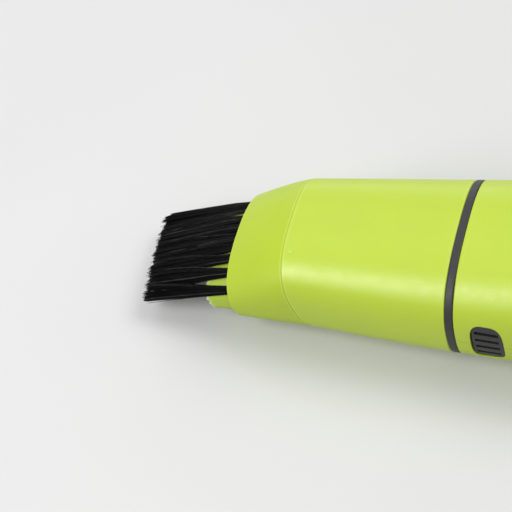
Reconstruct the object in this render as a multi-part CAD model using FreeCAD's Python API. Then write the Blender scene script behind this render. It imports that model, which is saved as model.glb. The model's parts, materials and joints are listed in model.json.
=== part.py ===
import FreeCAD, Part
import math
import os

from FreeCAD import Vector

# Desktop mini vacuum cleaner, millimetres.
# The working frame has X along the body: 0 at the nozzle's rim, the tail towards +X. Z is up, with 0 at
# the bottom of the rim. On export every piece moves to the part's own frame: middle of the footprint, on
# the plane that the feet stand on.

# ---- driving dimensions ------------------------------------------------------------------------------
# Outer skin: width, height, roundness (2 is an ellipse), belly height and forward lean of each station
MOUTH_W = 32.4
MOUTH_H = 17.7
MOUTH_ROUND = 2.4
MOUTH_LEAN = -0.18
HOOD_LENGTH = 16.7
HOOD_CROWN = 0.45
SEAM_W = 35.0
SEAM_H = 26.0
SEAM_ROUND = 2.8
SEAM_BELLY = -0.25
SEAM_LEAN = -0.22
BARREL_LENGTH = 37.3
COLLAR_W = 41.4
COLLAR_H = 29.3
COLLAR_ROUND = 2.55
COLLAR_BELLY = -1.1
GRIP_ROOM_W = 16.0
GRIP_ROOM_H = 18.5
GRIP_ROUND = 2.6
GRIP_BELLY = -1.3
TAIL_ROOM_W = 13.6
TAIL_ROOM_H = 16.9
TAIL_ROUND = 2.5
TAIL_BELLY = -0.9
TAIL_END_SCALE = 0.60

# Walls, clearances and edges
WALL = 1.7
RIM_WALL = 1.0
HOOD_THICKENING = 0.45
SPIGOT_WALL = 1.5
SPIGOT_DEPTH = 5.0
PLUG_CLEARANCE = 0.25
SEAT_CLEARANCE = 0.15
PARTING_GAP = 0.12
EDGE_ROUND = 0.35
RIM_ROUND = 0.3
RECESS_CLEARANCE = 0.1
CHAFE_GAP = 0.05

# Brush and its sleeve
SLEEVE_REACH = 6.8
SLEEVE_LEAN = 8.0
SLEEVE_W = 27.4
SLEEVE_REAR_W = 29.0
SLEEVE_TOP = 12.9
SLEEVE_BOTTOM = 1.35
SLEEVE_WAIST = 9.0
SLEEVE_ROUND_TOP = 2.4
SLEEVE_ROUND_LOW = 3.4
SLEEVE_WALL = 1.0
SLEEVE_INSIDE = 11.0
SLEEVE_CLEARANCE = 0.2
SLEEVE_RISE = 21.0
RAIL_X = 6.0
RAIL_LENGTH = 3.5
RAIL_HEIGHT = 1.8
RAIL_HALF_W = 14.4
TUFT_SHARES = (-0.91, -0.67, -0.42, -0.21, 0.0, 0.21, 0.42, 0.67, 0.91)
TUFT_ROOT_W = 2.3
TUFT_LIP_W = 2.3
TUFT_TIP_W = 2.4
TUFT_THICK = 1.0
TUFT_ROUND = 3.0
TUFT_SEAT = 0.1
TUFT_REACH = 31.9
TIP_SKEW = 0.9
TIP_SAG = 1.6

# Seal bands
SEAL_WIDTH = 1.6
SEAL_DEPTH = 0.8
SEAL_SETBACK = 2.2
SEAL_PROUD = 0.1

# Moulded dot and dash: distance behind the seam, place across, length
MARKS = ((1.95, -7.05, 0.0), (1.3, -9.05, 1.1))
MARK_R = 0.35
MARK_PROUD = 0.12
MARK_ROOT = 0.8

# Filter
FILTER_CUP = 10.0
FILTER_RIM = 1.9
FILTER_TAPER = 3.0
CLOTH_THICK = 0.8
CLOTH_LAP = 1.0
RIB_THICK = 1.2
CAGE_DEPTH = 1.9
CAGE_STEP = 0.3
CAGE_RIB_Y = 8.3

# Collar, fan and motor
COLLAR_BAND = 2.0
COLLAR_REAR_SPIGOT = 2.5
BULKHEAD_THICK = 1.3
EYE_R = 5.5
SPIGOT_ROOT = 0.5
FAN_DEPTH = 9.0
FAN_WALL = 1.2
FAN_FLOOR = 2.0
FAN_TIP_GAP = 0.8
BLADE_COUNT = 9
BLADE_THICK = 0.7
BLADE_SWEEP = 38.0
BLADE_BEND = 0.9
BLADE_SUNK = 0.2
BLADE_TRIM = 0.1
IMPELLER_DISC = 1.0
HUB_R = 2.6
HUB_SETBACK = 0.5
SHAFT_R = 1.0
SHAFT_CLEARANCE = 0.05
MOTOR_R = 10.0
MOTOR_FLAT = 7.5
MOTOR_WALL = 0.7
MOTOR_CAN_LENGTH = 20.0
MOTOR_BELL_LENGTH = 4.6
MOTOR_BOSS_R = 3.0
MOTOR_BOSS_LENGTH = 1.6
MAGNET_THICK = 1.7
MAGNET_SETBACK = 2.2
MAGNET_END_GAP = 1.5
MAGNET_FLAT_GAP = 0.4
AIR_GAP = 0.5
ARMATURE_SETBACK = 0.8
ARMATURE_POLES = 3
ARMATURE_SLOT = 1.4
ARMATURE_SLOT_ROOT = 0.55
ARMATURE_LENGTH = 11.0
COMMUTATOR_R = 2.6
COMMUTATOR_GAP = 0.6
COMMUTATOR_REACH = 0.6
BELL_INSET = 0.3
BELL_POCKET = 1.4
BELL_END_WALL = 0.8
SHAFT_END_GAP = 0.2
TERMINAL_THICK = 0.5
TERMINAL_W = 2.2
TERMINAL_SUNK = 2.0
TERMINAL_SHARE = 0.45
MOTOR_SCREW_R = 1.0
MOTOR_SCREW_Y = 6.5
MOTOR_SCREW_HEAD_R = 1.8
MOTOR_SCREW_HEAD = 0.9
MOTOR_SCREW_SEAT = 1.1
MOTOR_SCREW_SLOT = 0.4

# Switch
SWITCH_TRAVEL = 4.0
KNOB_L = 9.0
KNOB_W = 8.0
KNOB_PROUD = 1.7
KNOB_RIBS = 4
KNOB_GROOVE = 0.6
KNOB_GROOVE_DEPTH = 0.5
KNOB_CORNER = 1.0
KNOB_ROUND = 0.5
KNOB_LIFT = 0.3
KNOB_END = 1.0
KNOB_SIDE_GAP = 0.2
BEZEL_MARGIN = 2.0
BEZEL_SUNK = 0.35
BEZEL_LIP = 1.2
BEZEL_CORNER = 2.0
BEZEL_SKIRT_GAP = 0.3
POCKET_MARGIN = 0.8
POCKET_DEPTH = 0.7
POCKET_CORNER = 1.4
SWITCH_BODY_W = 5.0
SWITCH_BODY_H = 3.4
SWITCH_SHELL = 0.5
SWITCH_END = 2.2
SWITCH_WAY_END = 1.2
SLIDE_GAP = 0.3
SLIDER_TOE = 0.8
STEM_L = 2.6
STEM_W = 2.2
STEM_SOCKET = 1.0
STEM_ROOT = 0.4
PIN_X = 2.0
PIN_L = 1.4
PIN_H = 1.4
PIN_THICK = 0.6
PIN_LIFT = 0.4

# Cells and their contacts (two R6 cells, side by side)
CELL_R = 7.25
CELL_LENGTH = 50.5
CELL_NUB_R = 2.7
CELL_NUB = 1.2
CELL_PLAY = 0.25
CELL_DIVIDER = 0.6
TRAY_WALL = 1.1
TRAY_GAP = 4.0
TRAY_RIM_DROP = 1.0
TRAY_CORNER = 5.0
TRAY_REAR_GAP = 0.5
DIVIDER_FOOT = 1.5
DIVIDER_TOP = 3.0
CONTACT_THICK = 0.4
CONTACT_SIZE = 9.0
CONTACT_TAB_W = 2.4
CONTACT_TAB_REACH = 1.6
CONTACT_TAB_DROP = 0.5
CONTACT_TAB_GAP = 0.1
DISH_R = 3.2
DISH_TOP_R = 1.6
DISH_GAP = 0.15
SPRING_LENGTH = 3.0
SPRING_R = 3.3
SPRING_WIRE = 0.3
SPRING_TURNS = 2.5
SPRING_CORNERS = 8
SPRING_END_GAP = 0.05
CELL_EDGE = 0.5

# Tail
CAP_LENGTH = 17.0
CAP_DOME = 12.0
CAP_END_WALL = 2.0
DOME_SWEEP = 78.0
DOME_STEPS = 6
DOME_WALL_SHARE = 0.9
SHELF_HALF_H = 2.0
LANYARD_R = 1.6
LANYARD_LUG_R = 3.6
LANYARD_LUG_THICK = 3.0
LANYARD_REACH = 2.6
LANYARD_ROOT = 1.0

# Trim, feet and screws
GRIP_PAD_HALF_L = 21.0
GRIP_PAD_HALF_H = 6.6
GRIP_PAD_DEPTH = 0.9
GRIP_PAD_PROUD = 0.35
GRIP_RIB_PITCH = 3.5
GRIP_GROOVE = 1.0
GRIP_GROOVE_FLOOR = 0.1
GRIP_BORDER = 1.5
PAD_ROUND = 3.4
VENT_L = 7.5
VENT_HALF_H = 6.0
VENT_SLOTS = 4
VENT_SLOT_W = 1.0
VENT_BORDER = 1.0
VENT_SUNK = 0.25
VENT_LIP = 0.9
VENT_STAND = 0.1
FOOT_R = 4.0
FOOT_PROUD = 1.0
FOOT_SINK = 1.2
FOOT_Y = 9.0
FOOT_FRONT = 12.0
FOOT_REAR = 8.0
FOOT_CLEARANCE = 0.05
SCREW_R = 1.1
SCREW_HEAD_R = 2.1
SCREW_HEAD = 1.4
SCREW_LENGTH = 11.0
SCREW_Y = 15.0
SCREW_SEAT = 5.5
SCREW_PLAY = 0.1
SCREW_TIP_ROOM = 0.5
SCREW_HEAD_PLAY = 0.2
SCREW_CROSS_L = 2.4
SCREW_CROSS_W = 0.5
SCREW_CROSS_DEPTH = 0.8
BOSS_R = 2.9
BOSS_FRONT = 1.5
BOSS_REAR = 1.0
CRADLE_SETBACK = 4.0
CRADLE_MARGIN = 1.5
TRAY_RIB_SETBACK = 8.0
LEAD_R = 0.6
ARC_SHARE = 0.45
PIN_APPROACH = 5.0
LEAD_RISE = 3.5
LEAD_SETBACK = 1.2
LEAD_APART = 2.2

# ---- places along X that follow from the sizes --------------------------------------------------------
SEAM_X = HOOD_LENGTH
COLLAR_X = SEAM_X + BARREL_LENGTH
SHELL_X = COLLAR_X + COLLAR_BAND
BULKHEAD_X = SHELL_X + COLLAR_REAR_SPIGOT + SEAT_CLEARANCE
FAN_X = BULKHEAD_X + BULKHEAD_THICK
MOTOR_X = FAN_X + FAN_DEPTH
BELL_X = MOTOR_X + MOTOR_CAN_LENGTH
MOTOR_END = BELL_X + MOTOR_BELL_LENGTH
TRAY_X = MOTOR_END + TRAY_GAP
CELL_X = TRAY_X + TRAY_WALL + CONTACT_THICK + SPRING_LENGTH
CELL_END = CELL_X + CELL_LENGTH
BRIDGE_X = CELL_END + SPRING_LENGTH
TAIL_X = BRIDGE_X + CONTACT_THICK + TRAY_WALL + CAP_END_WALL
CAP_X = TAIL_X - CAP_LENGTH
DOME_X = TAIL_X - CAP_DOME
GRIP_X = (SHELL_X + CAP_X) / 2

# ---- the handle's outline, which leaves room round two cells lying side by side -----------------------
GRIP_W = 4 * CELL_R + GRIP_ROOM_W
GRIP_H = 2 * CELL_R + GRIP_ROOM_H
TAIL_W = 4 * CELL_R + TAIL_ROOM_W
TAIL_H = 2 * CELL_R + TAIL_ROOM_H

# Section points, spacing of the skin's sections, and how far tool solids run on past what they cut
RING_POINTS = 36
RING_STEP = 9.0
PAST = 1.0
LONG = 30.0
BIG = 300.0
EDGE_SEARCH = 0.6
HAIR = 0.01
SETTLE_ROUNDS = 6


# ---- outer skin ---------------------------------------------------------------------------------------
def hermite(x, stations):
    """Smooth value at x through (x, value) stations, with flat ends beyond the last one."""
    if x >= stations[-1][0]:
        return stations[-1][1]
    index = 0
    while x > stations[index + 1][0]:
        index += 1

    def slope(i):
        low = max(i - 1, 0)
        high = min(i + 1, len(stations) - 1)
        return (stations[high][1] - stations[low][1]) / (stations[high][0] - stations[low][0])

    x0, v0 = stations[index]
    x1, v1 = stations[index + 1]
    span = x1 - x0
    t = (x - x0) / span
    rise = (2 * t ** 3 - 3 * t ** 2 + 1) * v0 + (3 * t ** 2 - 2 * t ** 3) * v1
    start = (t ** 3 - 2 * t ** 2 + t) * span * slope(index)
    end = (t ** 3 - t ** 2) * span * slope(index + 1)
    return rise + start + end


def skin_law(x):
    """Width, height, roundness, belly and lean of the outer skin at x."""
    if x < SEAM_X:
        t = x / SEAM_X
        crown = HOOD_CROWN * math.sin(math.pi * t)
        width = MOUTH_W + (SEAM_W - MOUTH_W) * t + crown
        height = MOUTH_H + (SEAM_H - MOUTH_H) * t + crown
        roundness = MOUTH_ROUND + (SEAM_ROUND - MOUTH_ROUND) * t
        return width, height, roundness, SEAM_BELLY * t, MOUTH_LEAN + (SEAM_LEAN - MOUTH_LEAN) * t
    places = (SEAM_X, COLLAR_X, GRIP_X, DOME_X)
    rows = (
        (SEAM_W, COLLAR_W, GRIP_W, TAIL_W),
        (SEAM_H, COLLAR_H, GRIP_H, TAIL_H),
        (SEAM_ROUND, COLLAR_ROUND, GRIP_ROUND, TAIL_ROUND),
        (SEAM_BELLY, COLLAR_BELLY, GRIP_BELLY, TAIL_BELLY),
    )
    values = [hermite(x, list(zip(places, row))) for row in rows]
    lean = SEAM_LEAN * max(0.0, 1 - (x - SEAM_X) / (COLLAR_X - SEAM_X - 2 * SPIGOT_DEPTH))
    return values[0], values[1], values[2], values[3], lean


def closed_curve(points):
    curve = Part.BSplineCurve()
    curve.interpolate(Points=points, PeriodicFlag=True)
    return Part.Wire([curve.toShape()])


def oval(x, half_w, half_h, roundness, centre_z, lean=0.0, low_roundness=None):
    """Closed wire of a rounded section, standing at x, whose top leans by lean."""
    points = []
    for i in range(RING_POINTS):
        angle = 2 * math.pi * i / RING_POINTS
        c = math.cos(angle)
        s = math.sin(angle)
        power = 2 / roundness if low_roundness is None or s >= 0 else 2 / low_roundness
        y = math.copysign(abs(c) ** power, c) * half_w
        z = math.copysign(abs(s) ** power, s) * half_h
        points.append(Vector(x + lean * z, y, centre_z + z))
    return closed_curve(points)


def ring(x, inset, place=None):
    """Wire of the skin's section at x, drawn in by inset; place stands it elsewhere along X."""
    width, height, roundness, belly, lean = skin_law(x)
    stand = x if place is None else place
    return oval(stand, width / 2 - inset, height / 2 - inset, roundness, belly + height / 2, lean)


def centre_height(x):
    width, height, roundness, belly, lean = skin_law(x)
    return belly + height / 2


def loft(wires):
    return Part.makeLoft(wires, True, False)


def skin(x0, x1, inset0, inset1=None):
    """Solid inside the skin between x0 and x1, drawn in by inset0 to inset1."""
    last = inset0 if inset1 is None else inset1
    count = max(2, int(math.ceil((x1 - x0) / RING_STEP)))
    wires = []
    for i in range(count + 1):
        t = i / count
        wires.append(ring(x0 + (x1 - x0) * t, inset0 + (last - inset0) * t))
    return loft(wires)


def straight(x, inset, start, length):
    """Solid with the skin's section at x and the same size all along, from start."""
    return loft([ring(x, inset, start), ring(x, inset, start + length)])


def block(x0, x1, y0, y1, z0, z1):
    return Part.makeBox(x1 - x0, y1 - y0, z1 - z0, Vector(x0, y0, z0))


def rod(x0, x1, radius, y=0.0, z=0.0):
    return Part.makeCylinder(radius, x1 - x0, Vector(x0, y, z), Vector(1, 0, 0))


def post(z0, z1, radius, x, y):
    return Part.makeCylinder(radius, z1 - z0, Vector(x, y, z0), Vector(0, 0, 1))


def outer_edges(shape, x, lean_reach):
    """Edges of a shell's outline that lie about x, the long ones only."""
    found = []
    for edge in shape.Edges:
        box = edge.BoundBox
        near = abs(box.Center.x - x) < EDGE_SEARCH and box.XLength < lean_reach
        if near and box.YLength > COLLAR_W / 2:
            found.append(edge)
    widest = max(edge.BoundBox.YLength for edge in found)
    return [edge for edge in found if edge.BoundBox.YLength > widest - 5 * HAIR]


# ---- nozzle -------------------------------------------------------------------------------------------
def spigot_inset():
    return WALL + PLUG_CLEARANCE


def nozzle_hood():
    throat = spigot_inset() + SPIGOT_WALL
    shell = skin(0, SEAM_X, 0)
    shell = shell.makeFillet(EDGE_ROUND, outer_edges(shell, SEAM_X, SEAM_H))
    shell = shell.makeFillet(RIM_ROUND, outer_edges(shell, 0, MOUTH_H))
    spigot = straight(SEAM_X, spigot_inset(), SEAM_X - PAST, SPIGOT_DEPTH + PAST)
    groove = straight(SEAM_X, 0, SEAM_X + SEAL_SETBACK, SEAL_WIDTH)
    groove = groove.cut(straight(SEAM_X, spigot_inset() + SEAL_DEPTH, SEAM_X, SPIGOT_DEPTH))
    rear = loft([ring(SLEEVE_INSIDE, RIM_WALL + HOOD_THICKENING), ring(SEAM_X, throat)])
    passage = straight(SEAM_X, throat, SEAM_X, 2 * SPIGOT_DEPTH)
    return shell.fuse(spigot).cut(groove).cut(hood_space(0)).cut(rear).cut(passage).removeSplitter()


def hood_space(clearance):
    """Room inside the front of the hood, which gets thicker towards the seam."""
    middle = SLEEVE_INSIDE / 2
    return loft([
        ring(0, RIM_WALL + clearance),
        ring(middle, RIM_WALL + HOOD_THICKENING / 3 + clearance),
        ring(SLEEVE_INSIDE, RIM_WALL + HOOD_THICKENING + clearance),
    ])


def sleeve_room(clearance):
    """Room for the sleeve: inside the hood, and straight out through its mouth."""
    mouth = straight(0, RIM_WALL + clearance, -2 * SLEEVE_REACH, 2 * SLEEVE_REACH)
    return mouth.fuse(hood_space(clearance))


def sleeve_size(x):
    """Half width, top and bottom of the sleeve at x: its top climbs to the rear, along the tufts."""
    t = (x + SLEEVE_REACH) / (SLEEVE_INSIDE + SLEEVE_REACH)
    top = SLEEVE_TOP + (x + SLEEVE_REACH) * math.tan(math.radians(SLEEVE_RISE))
    return (SLEEVE_W + (SLEEVE_REAR_W - SLEEVE_W) * t) / 2, top, SLEEVE_BOTTOM


def sleeve_oval(x, inset):
    half_w, top, bottom = sleeve_size(x)
    half_h = (top - bottom) / 2
    middle = (top + bottom) / 2
    return oval(x, half_w - inset, half_h - inset, SLEEVE_ROUND_TOP, middle, 0.0, SLEEVE_ROUND_LOW)


def brush_carrier():
    body = loft([sleeve_oval(-SLEEVE_REACH, 0), sleeve_oval(SLEEVE_INSIDE, 0)])
    bore = loft([sleeve_oval(-SLEEVE_REACH, SLEEVE_WALL), sleeve_oval(SLEEVE_INSIDE, SLEEVE_WALL)])
    rail_end = RAIL_X + RAIL_LENGTH
    rail = loft([sleeve_oval(RAIL_X, -RAIL_HEIGHT), sleeve_oval(rail_end, -RAIL_HEIGHT)])
    reach = block(RAIL_X, rail_end, -RAIL_HALF_W, RAIL_HALF_W, SLEEVE_WAIST, BIG)
    outside = body.fuse(rail.common(reach)).common(sleeve_room(SLEEVE_CLEARANCE))
    inside = bore.common(sleeve_room(SLEEVE_CLEARANCE + SLEEVE_WALL))
    return outside.cut(inside).cut(before_sleeve()).removeSplitter()


def before_sleeve():
    """What lies in front of the sleeve's end, which leans back from its top."""
    front = block(-LONG, 0, -BIG, BIG, -BIG, BIG)
    front.rotate(Vector(0, 0, 0), Vector(0, 1, 0), -SLEEVE_LEAN)
    return front.translated(Vector(-SLEEVE_REACH, 0, SLEEVE_TOP))


def tuft_section(x, share, width):
    """Rounded outline of a tuft across X, lying on the sleeve's upper side at a share of its half width."""
    half_w, top, bottom = sleeve_size(x)
    half_h = (top - bottom) / 2
    flat = abs(share)
    rise = (1 - flat ** SLEEVE_ROUND_TOP) ** (1 / SLEEVE_ROUND_TOP)
    slope = half_h / half_w * flat ** (SLEEVE_ROUND_TOP - 1) * rise ** (1 - SLEEVE_ROUND_TOP)
    tilt = -math.copysign(math.atan(slope), share)
    off = TUFT_SEAT + TUFT_THICK / 2
    outline = oval(0, width / 2, TUFT_THICK / 2, TUFT_ROUND, off)
    outline.rotate(Vector(0, 0, 0), Vector(1, 0, 0), math.degrees(tilt))
    outline.translate(Vector(x, share * half_w, (top + bottom) / 2 + half_h * rise))
    return outline


def brush_tip_x(share):
    """Where a tuft's tip ends: the row of tips runs aslant."""
    return RAIL_X - TUFT_REACH - TIP_SKEW * share


def tuft(share):
    """One tuft: it lies along the sleeve, then runs on nearly straight to its tip."""
    root = tuft_section(RAIL_X, share, TUFT_ROOT_W)
    lip = tuft_section(-SLEEVE_REACH, share, TUFT_LIP_W)
    tip = tuft_section(-SLEEVE_REACH, share, TUFT_TIP_W)
    along = lip.BoundBox.Center - root.BoundBox.Center
    reach = (-SLEEVE_REACH - brush_tip_x(share)) / (RAIL_X + SLEEVE_REACH)
    tip.translate(along * reach - Vector(0, 0, TIP_SAG))
    return loft([tip, lip]).fuse(loft([lip, root])).removeSplitter()


def brush_tufts():
    return Part.makeCompound([tuft(share) for share in TUFT_SHARES])


def nozzle_seal():
    start = SEAM_X + SEAL_SETBACK
    band = straight(SEAM_X, spigot_inset() - SEAL_PROUD, start, SEAL_WIDTH)
    return band.cut(straight(SEAM_X, spigot_inset() + SEAL_DEPTH, start - PAST, SEAL_WIDTH + 2 * PAST))


# ---- dust barrel and filter ----------------------------------------------------------------------------
def collar_spigot_start():
    return COLLAR_X - SPIGOT_DEPTH


def dust_barrel():
    shell = skin(SEAM_X, COLLAR_X, 0)
    shell = shell.makeFillet(EDGE_ROUND, outer_edges(shell, SEAM_X, SEAM_H))
    shell = shell.makeFillet(EDGE_ROUND, outer_edges(shell, COLLAR_X, EDGE_SEARCH))
    return shell.cut(skin(SEAM_X, COLLAR_X, WALL)).fuse(alignment_marks()).removeSplitter()


def alignment_marks():
    """The small dot and dash moulded on the barrel behind the seam, which show which way up it goes."""
    seam = SEAM_X + SEAM_LEAN * SEAM_H / 2
    marks = []
    for x, y, length in MARKS:
        low = skin_top(seam + x, y) - MARK_ROOT
        for end in (0.0, length):
            top = skin_top(seam + x + end, y) + MARK_PROUD
            marks.append(post(low, top, MARK_R, seam + x + end, y))
        if length:
            top = skin_top(seam + x + length / 2, y) + MARK_PROUD
            marks.append(block(seam + x, seam + x + length, y - MARK_R, y + MARK_R, low, top))
    return marks


def skin_top(x, y):
    """Height of the barrel's skin above a point, with the lean allowed for."""
    lean = SEAM_LEAN
    half = 0.0
    for _ in range(SETTLE_ROUNDS):
        station = x - lean * half
        width, height, roundness, belly, lean = skin_law(station)
        half = skin_half_height(station, y)
    return belly + height / 2 + half


def filter_inset():
    return spigot_inset() + SPIGOT_WALL + PLUG_CLEARANCE


def cup(inset, x0, x1):
    start = collar_spigot_start()
    return loft([ring(start, inset + FILTER_TAPER, x0), ring(start, inset, x1)])


def filter_front():
    return collar_spigot_start() - FILTER_CUP


def filter_cloth():
    inset = filter_inset() + FILTER_RIM - CLOTH_THICK
    rear = collar_spigot_start() + CLOTH_LAP
    body = cup(inset, filter_front(), rear)
    return body.cut(cup(inset + CLOTH_THICK, filter_front() + CLOTH_THICK, rear))


def filter_frame():
    start = collar_spigot_start()
    rear = COLLAR_X + COLLAR_BAND / 2
    inner = filter_inset() + FILTER_RIM
    lap_end = start + CLOTH_LAP
    rim = straight(start, filter_inset(), lap_end, rear - lap_end)
    rim = rim.cut(straight(start, inner, start - PAST, LONG))
    front = filter_front() + CLOTH_THICK + SEAT_CLEARANCE
    middle = centre_height(start)
    cage_space = cup(inner + SEAT_CLEARANCE, front, lap_end)
    cage_space = cage_space.fuse(straight(start, inner - CAGE_STEP, lap_end, rear - lap_end))
    half = RIB_THICK / 2
    ribs = block(front, rear, -BIG, BIG, middle - half, middle + half)
    ribs = ribs.fuse(block(front, rear, -half, half, -BIG, BIG))
    for side in (-1, 1):
        y = side * CAGE_RIB_Y
        ribs = ribs.fuse(block(front, rear, y - half, y + half, -BIG, BIG))
    cage = ribs.common(cage_space)
    hollow = cup(inner + SEAT_CLEARANCE + CAGE_DEPTH, front + RIB_THICK, rear + PAST)
    return rim.fuse(cage.cut(hollow)).removeSplitter()


# ---- handle -------------------------------------------------------------------------------------------
def collar_ring():
    start = collar_spigot_start()
    band = skin(COLLAR_X, SHELL_X, 0)
    for x in (COLLAR_X, SHELL_X):
        band = band.makeFillet(EDGE_ROUND, outer_edges(band, x, EDGE_SEARCH))
    front = straight(start, spigot_inset(), start, SPIGOT_DEPTH + SPIGOT_ROOT)
    rear_length = COLLAR_REAR_SPIGOT + SPIGOT_ROOT
    rear = straight(SHELL_X, WALL + SEAT_CLEARANCE, SHELL_X - SPIGOT_ROOT, rear_length)
    bore = straight(start, spigot_inset() + SPIGOT_WALL, start - PAST, LONG)
    return band.fuse(front).fuse(rear).cut(bore).removeSplitter()


def fan_axis():
    return centre_height(BULKHEAD_X)


def fan_housing_r():
    width, height, roundness, belly, lean = skin_law(BULKHEAD_X)
    return height / 2 - WALL - 2 * SEAT_CLEARANCE


def impeller_r():
    return fan_housing_r() - FAN_WALL - FAN_TIP_GAP


def parting_height():
    return fan_axis()


def cell_axis():
    return centre_height(GRIP_X)


def cell_y():
    return CELL_R + CELL_PLAY + CELL_DIVIDER / 2


def tail_spigot_end():
    return CAP_X + SPIGOT_DEPTH


def handle_tube():
    """Both handle shells as one tube, with the spigot that the tail cap plugs over."""
    shell = skin(SHELL_X, CAP_X, 0)
    for x in (SHELL_X, CAP_X):
        shell = shell.makeFillet(EDGE_ROUND, outer_edges(shell, x, EDGE_SEARCH))
    end = tail_spigot_end()
    throat = spigot_inset() + SPIGOT_WALL
    step = CAP_X - SPIGOT_WALL
    hollow = skin(SHELL_X, step, WALL)
    spigot = straight(end, spigot_inset(), CAP_X - SPIGOT_ROOT, end - CAP_X + SPIGOT_ROOT)
    passage = straight(end, throat, step - SPIGOT_ROOT, end - step + 2 * PAST)
    return shell.cut(hollow).fuse(spigot).cut(passage)


def screw_places():
    first = MOTOR_X + BOSS_R + BOSS_FRONT
    second = MOTOR_END - BOSS_R - BOSS_REAR
    return [(x, side * SCREW_Y) for x in (first, second) for side in (-1, 1)]


def bosses(z0, z1):
    inside = skin(SHELL_X, CAP_X, WALL / 2)
    return [post(z0, z1, BOSS_R, x, y).common(inside) for x, y in screw_places()]


def motor_cradle(z0, z1):
    """Ribs between a shell and the motor, shaped to its outline."""
    inside = skin(SHELL_X, CAP_X, WALL / 2)
    ribs = []
    half_w = MOTOR_R + CRADLE_MARGIN
    for x in (MOTOR_X + CRADLE_SETBACK, BELL_X - CRADLE_SETBACK):
        rib = block(x - RIB_THICK / 2, x + RIB_THICK / 2, -half_w, half_w, z0, z1)
        ribs.append(rib.common(inside).cut(motor_outline(MOTOR_X, BELL_X, SEAT_CLEARANCE)))
    return ribs


def tray_ribs():
    inside = skin(SHELL_X, CAP_X, WALL / 2)
    top = tray_bottom() - SEAT_CLEARANCE
    half = cell_y() + CELL_R
    ribs = []
    for x in (TRAY_X + TRAY_RIB_SETBACK, CAP_X - TRAY_RIB_SETBACK):
        ribs.append(block(x, x + RIB_THICK, -half, half, -LONG, top).common(inside))
    return ribs


def side_prism(centre_x, half_l, half_h, extra=0.0):
    """Oval prism through both sides of the handle, at the parting line."""
    points = []
    for i in range(RING_POINTS):
        angle = 2 * math.pi * i / RING_POINTS
        c = math.cos(angle)
        s = math.sin(angle)
        x = math.copysign(abs(c) ** (2 / PAD_ROUND), c) * (half_l + extra)
        z = math.copysign(abs(s) ** (2 / PAD_ROUND), s) * (half_h + extra)
        points.append(Vector(centre_x + x, -BIG / 2, parting_height() + z))
    return Part.Face(closed_curve(points)).extrude(Vector(0, BIG, 0))


def both_sides(shape):
    """Keeps what lies well to either side of the handle's middle."""
    return shape.cut(block(-BIG, BIG, -COLLAR_W / 4, COLLAR_W / 4, -BIG, BIG))


def grip_recess():
    prism = side_prism(GRIP_X, GRIP_PAD_HALF_L, GRIP_PAD_HALF_H, RECESS_CLEARANCE)
    band = skin(SHELL_X, CAP_X, -PAST).cut(skin(SHELL_X, CAP_X, GRIP_PAD_DEPTH + RECESS_CLEARANCE))
    return both_sides(prism.common(band))


def vent_centre():
    return FAN_X + (FAN_DEPTH - FAN_FLOOR) / 2


def vent_window(extra=0.0):
    return both_sides(side_prism(vent_centre(), VENT_L / 2, VENT_HALF_H, extra))


def handle_shell(upper):
    """One half of the handle: what lies above or below the parting plane."""
    parting = parting_height()
    tube = handle_tube().cut(grip_recess()).cut(vent_window(RECESS_CLEARANCE))
    if upper:
        half = tube.common(block(-BIG, BIG, -BIG, BIG, parting + PARTING_GAP / 2, BIG))
        extras = bosses(parting + PARTING_GAP / 2, BIG) + motor_cradle(parting + MOTOR_FLAT / 2, BIG)
    else:
        half = tube.common(block(-BIG, BIG, -BIG, BIG, -BIG, parting - PARTING_GAP / 2))
        low = motor_cradle(-LONG, parting - MOTOR_FLAT / 2)
        extras = bosses(-LONG, parting - PARTING_GAP / 2) + low + tray_ribs()
    for extra in extras:
        half = half.fuse(extra)
    return half


def upper_shell():
    shell = handle_shell(True)
    shell = shell.cut(bezel_plate(RECESS_CLEARANCE))
    half = bezel_half_l() + BEZEL_LIP + BEZEL_SKIRT_GAP
    low = switch_base() - SWITCH_BODY_H - PAST
    shell = shell.cut(block(switch_x() - half, switch_x() + half, -MOTOR_R, MOTOR_R, low, lip_top()))
    for x, y in screw_places():
        shell = shell.cut(post(0, SCREW_SEAT + SCREW_LENGTH + SCREW_TIP_ROOM, SCREW_R, x, y))
    return shell.removeSplitter()


def lower_shell():
    shell = handle_shell(False)
    for x, y in screw_places():
        shell = shell.cut(post(-LONG, SCREW_SEAT, SCREW_HEAD_R + SCREW_HEAD_PLAY, x, y))
        shell = shell.cut(post(0, LONG, SCREW_R + SCREW_PLAY, x, y))
    for foot in foot_posts(FOOT_CLEARANCE):
        shell = shell.cut(foot)
    return shell.removeSplitter()


def foot_places():
    return [(x, side * FOOT_Y) for x in (SHELL_X + FOOT_FRONT, CAP_X - FOOT_REAR) for side in (-1, 1)]


def foot_plane():
    return min(GRIP_BELLY, COLLAR_BELLY) - FOOT_PROUD


def foot_posts(extra=0.0):
    feet = []
    for x, y in foot_places():
        top = centre_height(x) - skin_half_height(x, y) + FOOT_SINK
        feet.append(post(foot_plane(), top + extra, FOOT_R + extra, x, y))
    return feet


def skin_half_height(x, y):
    width, height, roundness, belly, lean = skin_law(x)
    return height / 2 * (1 - abs(2 * y / width) ** roundness) ** (1 / roundness)


def rubber_feet():
    feet = []
    for foot in foot_posts():
        rim = [edge for edge in foot.Edges if edge.BoundBox.ZMax < foot_plane() + HAIR]
        feet.append(foot.makeFillet(EDGE_ROUND, [edge for edge in rim if edge.Closed]))
    return Part.makeCompound(feet)


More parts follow.
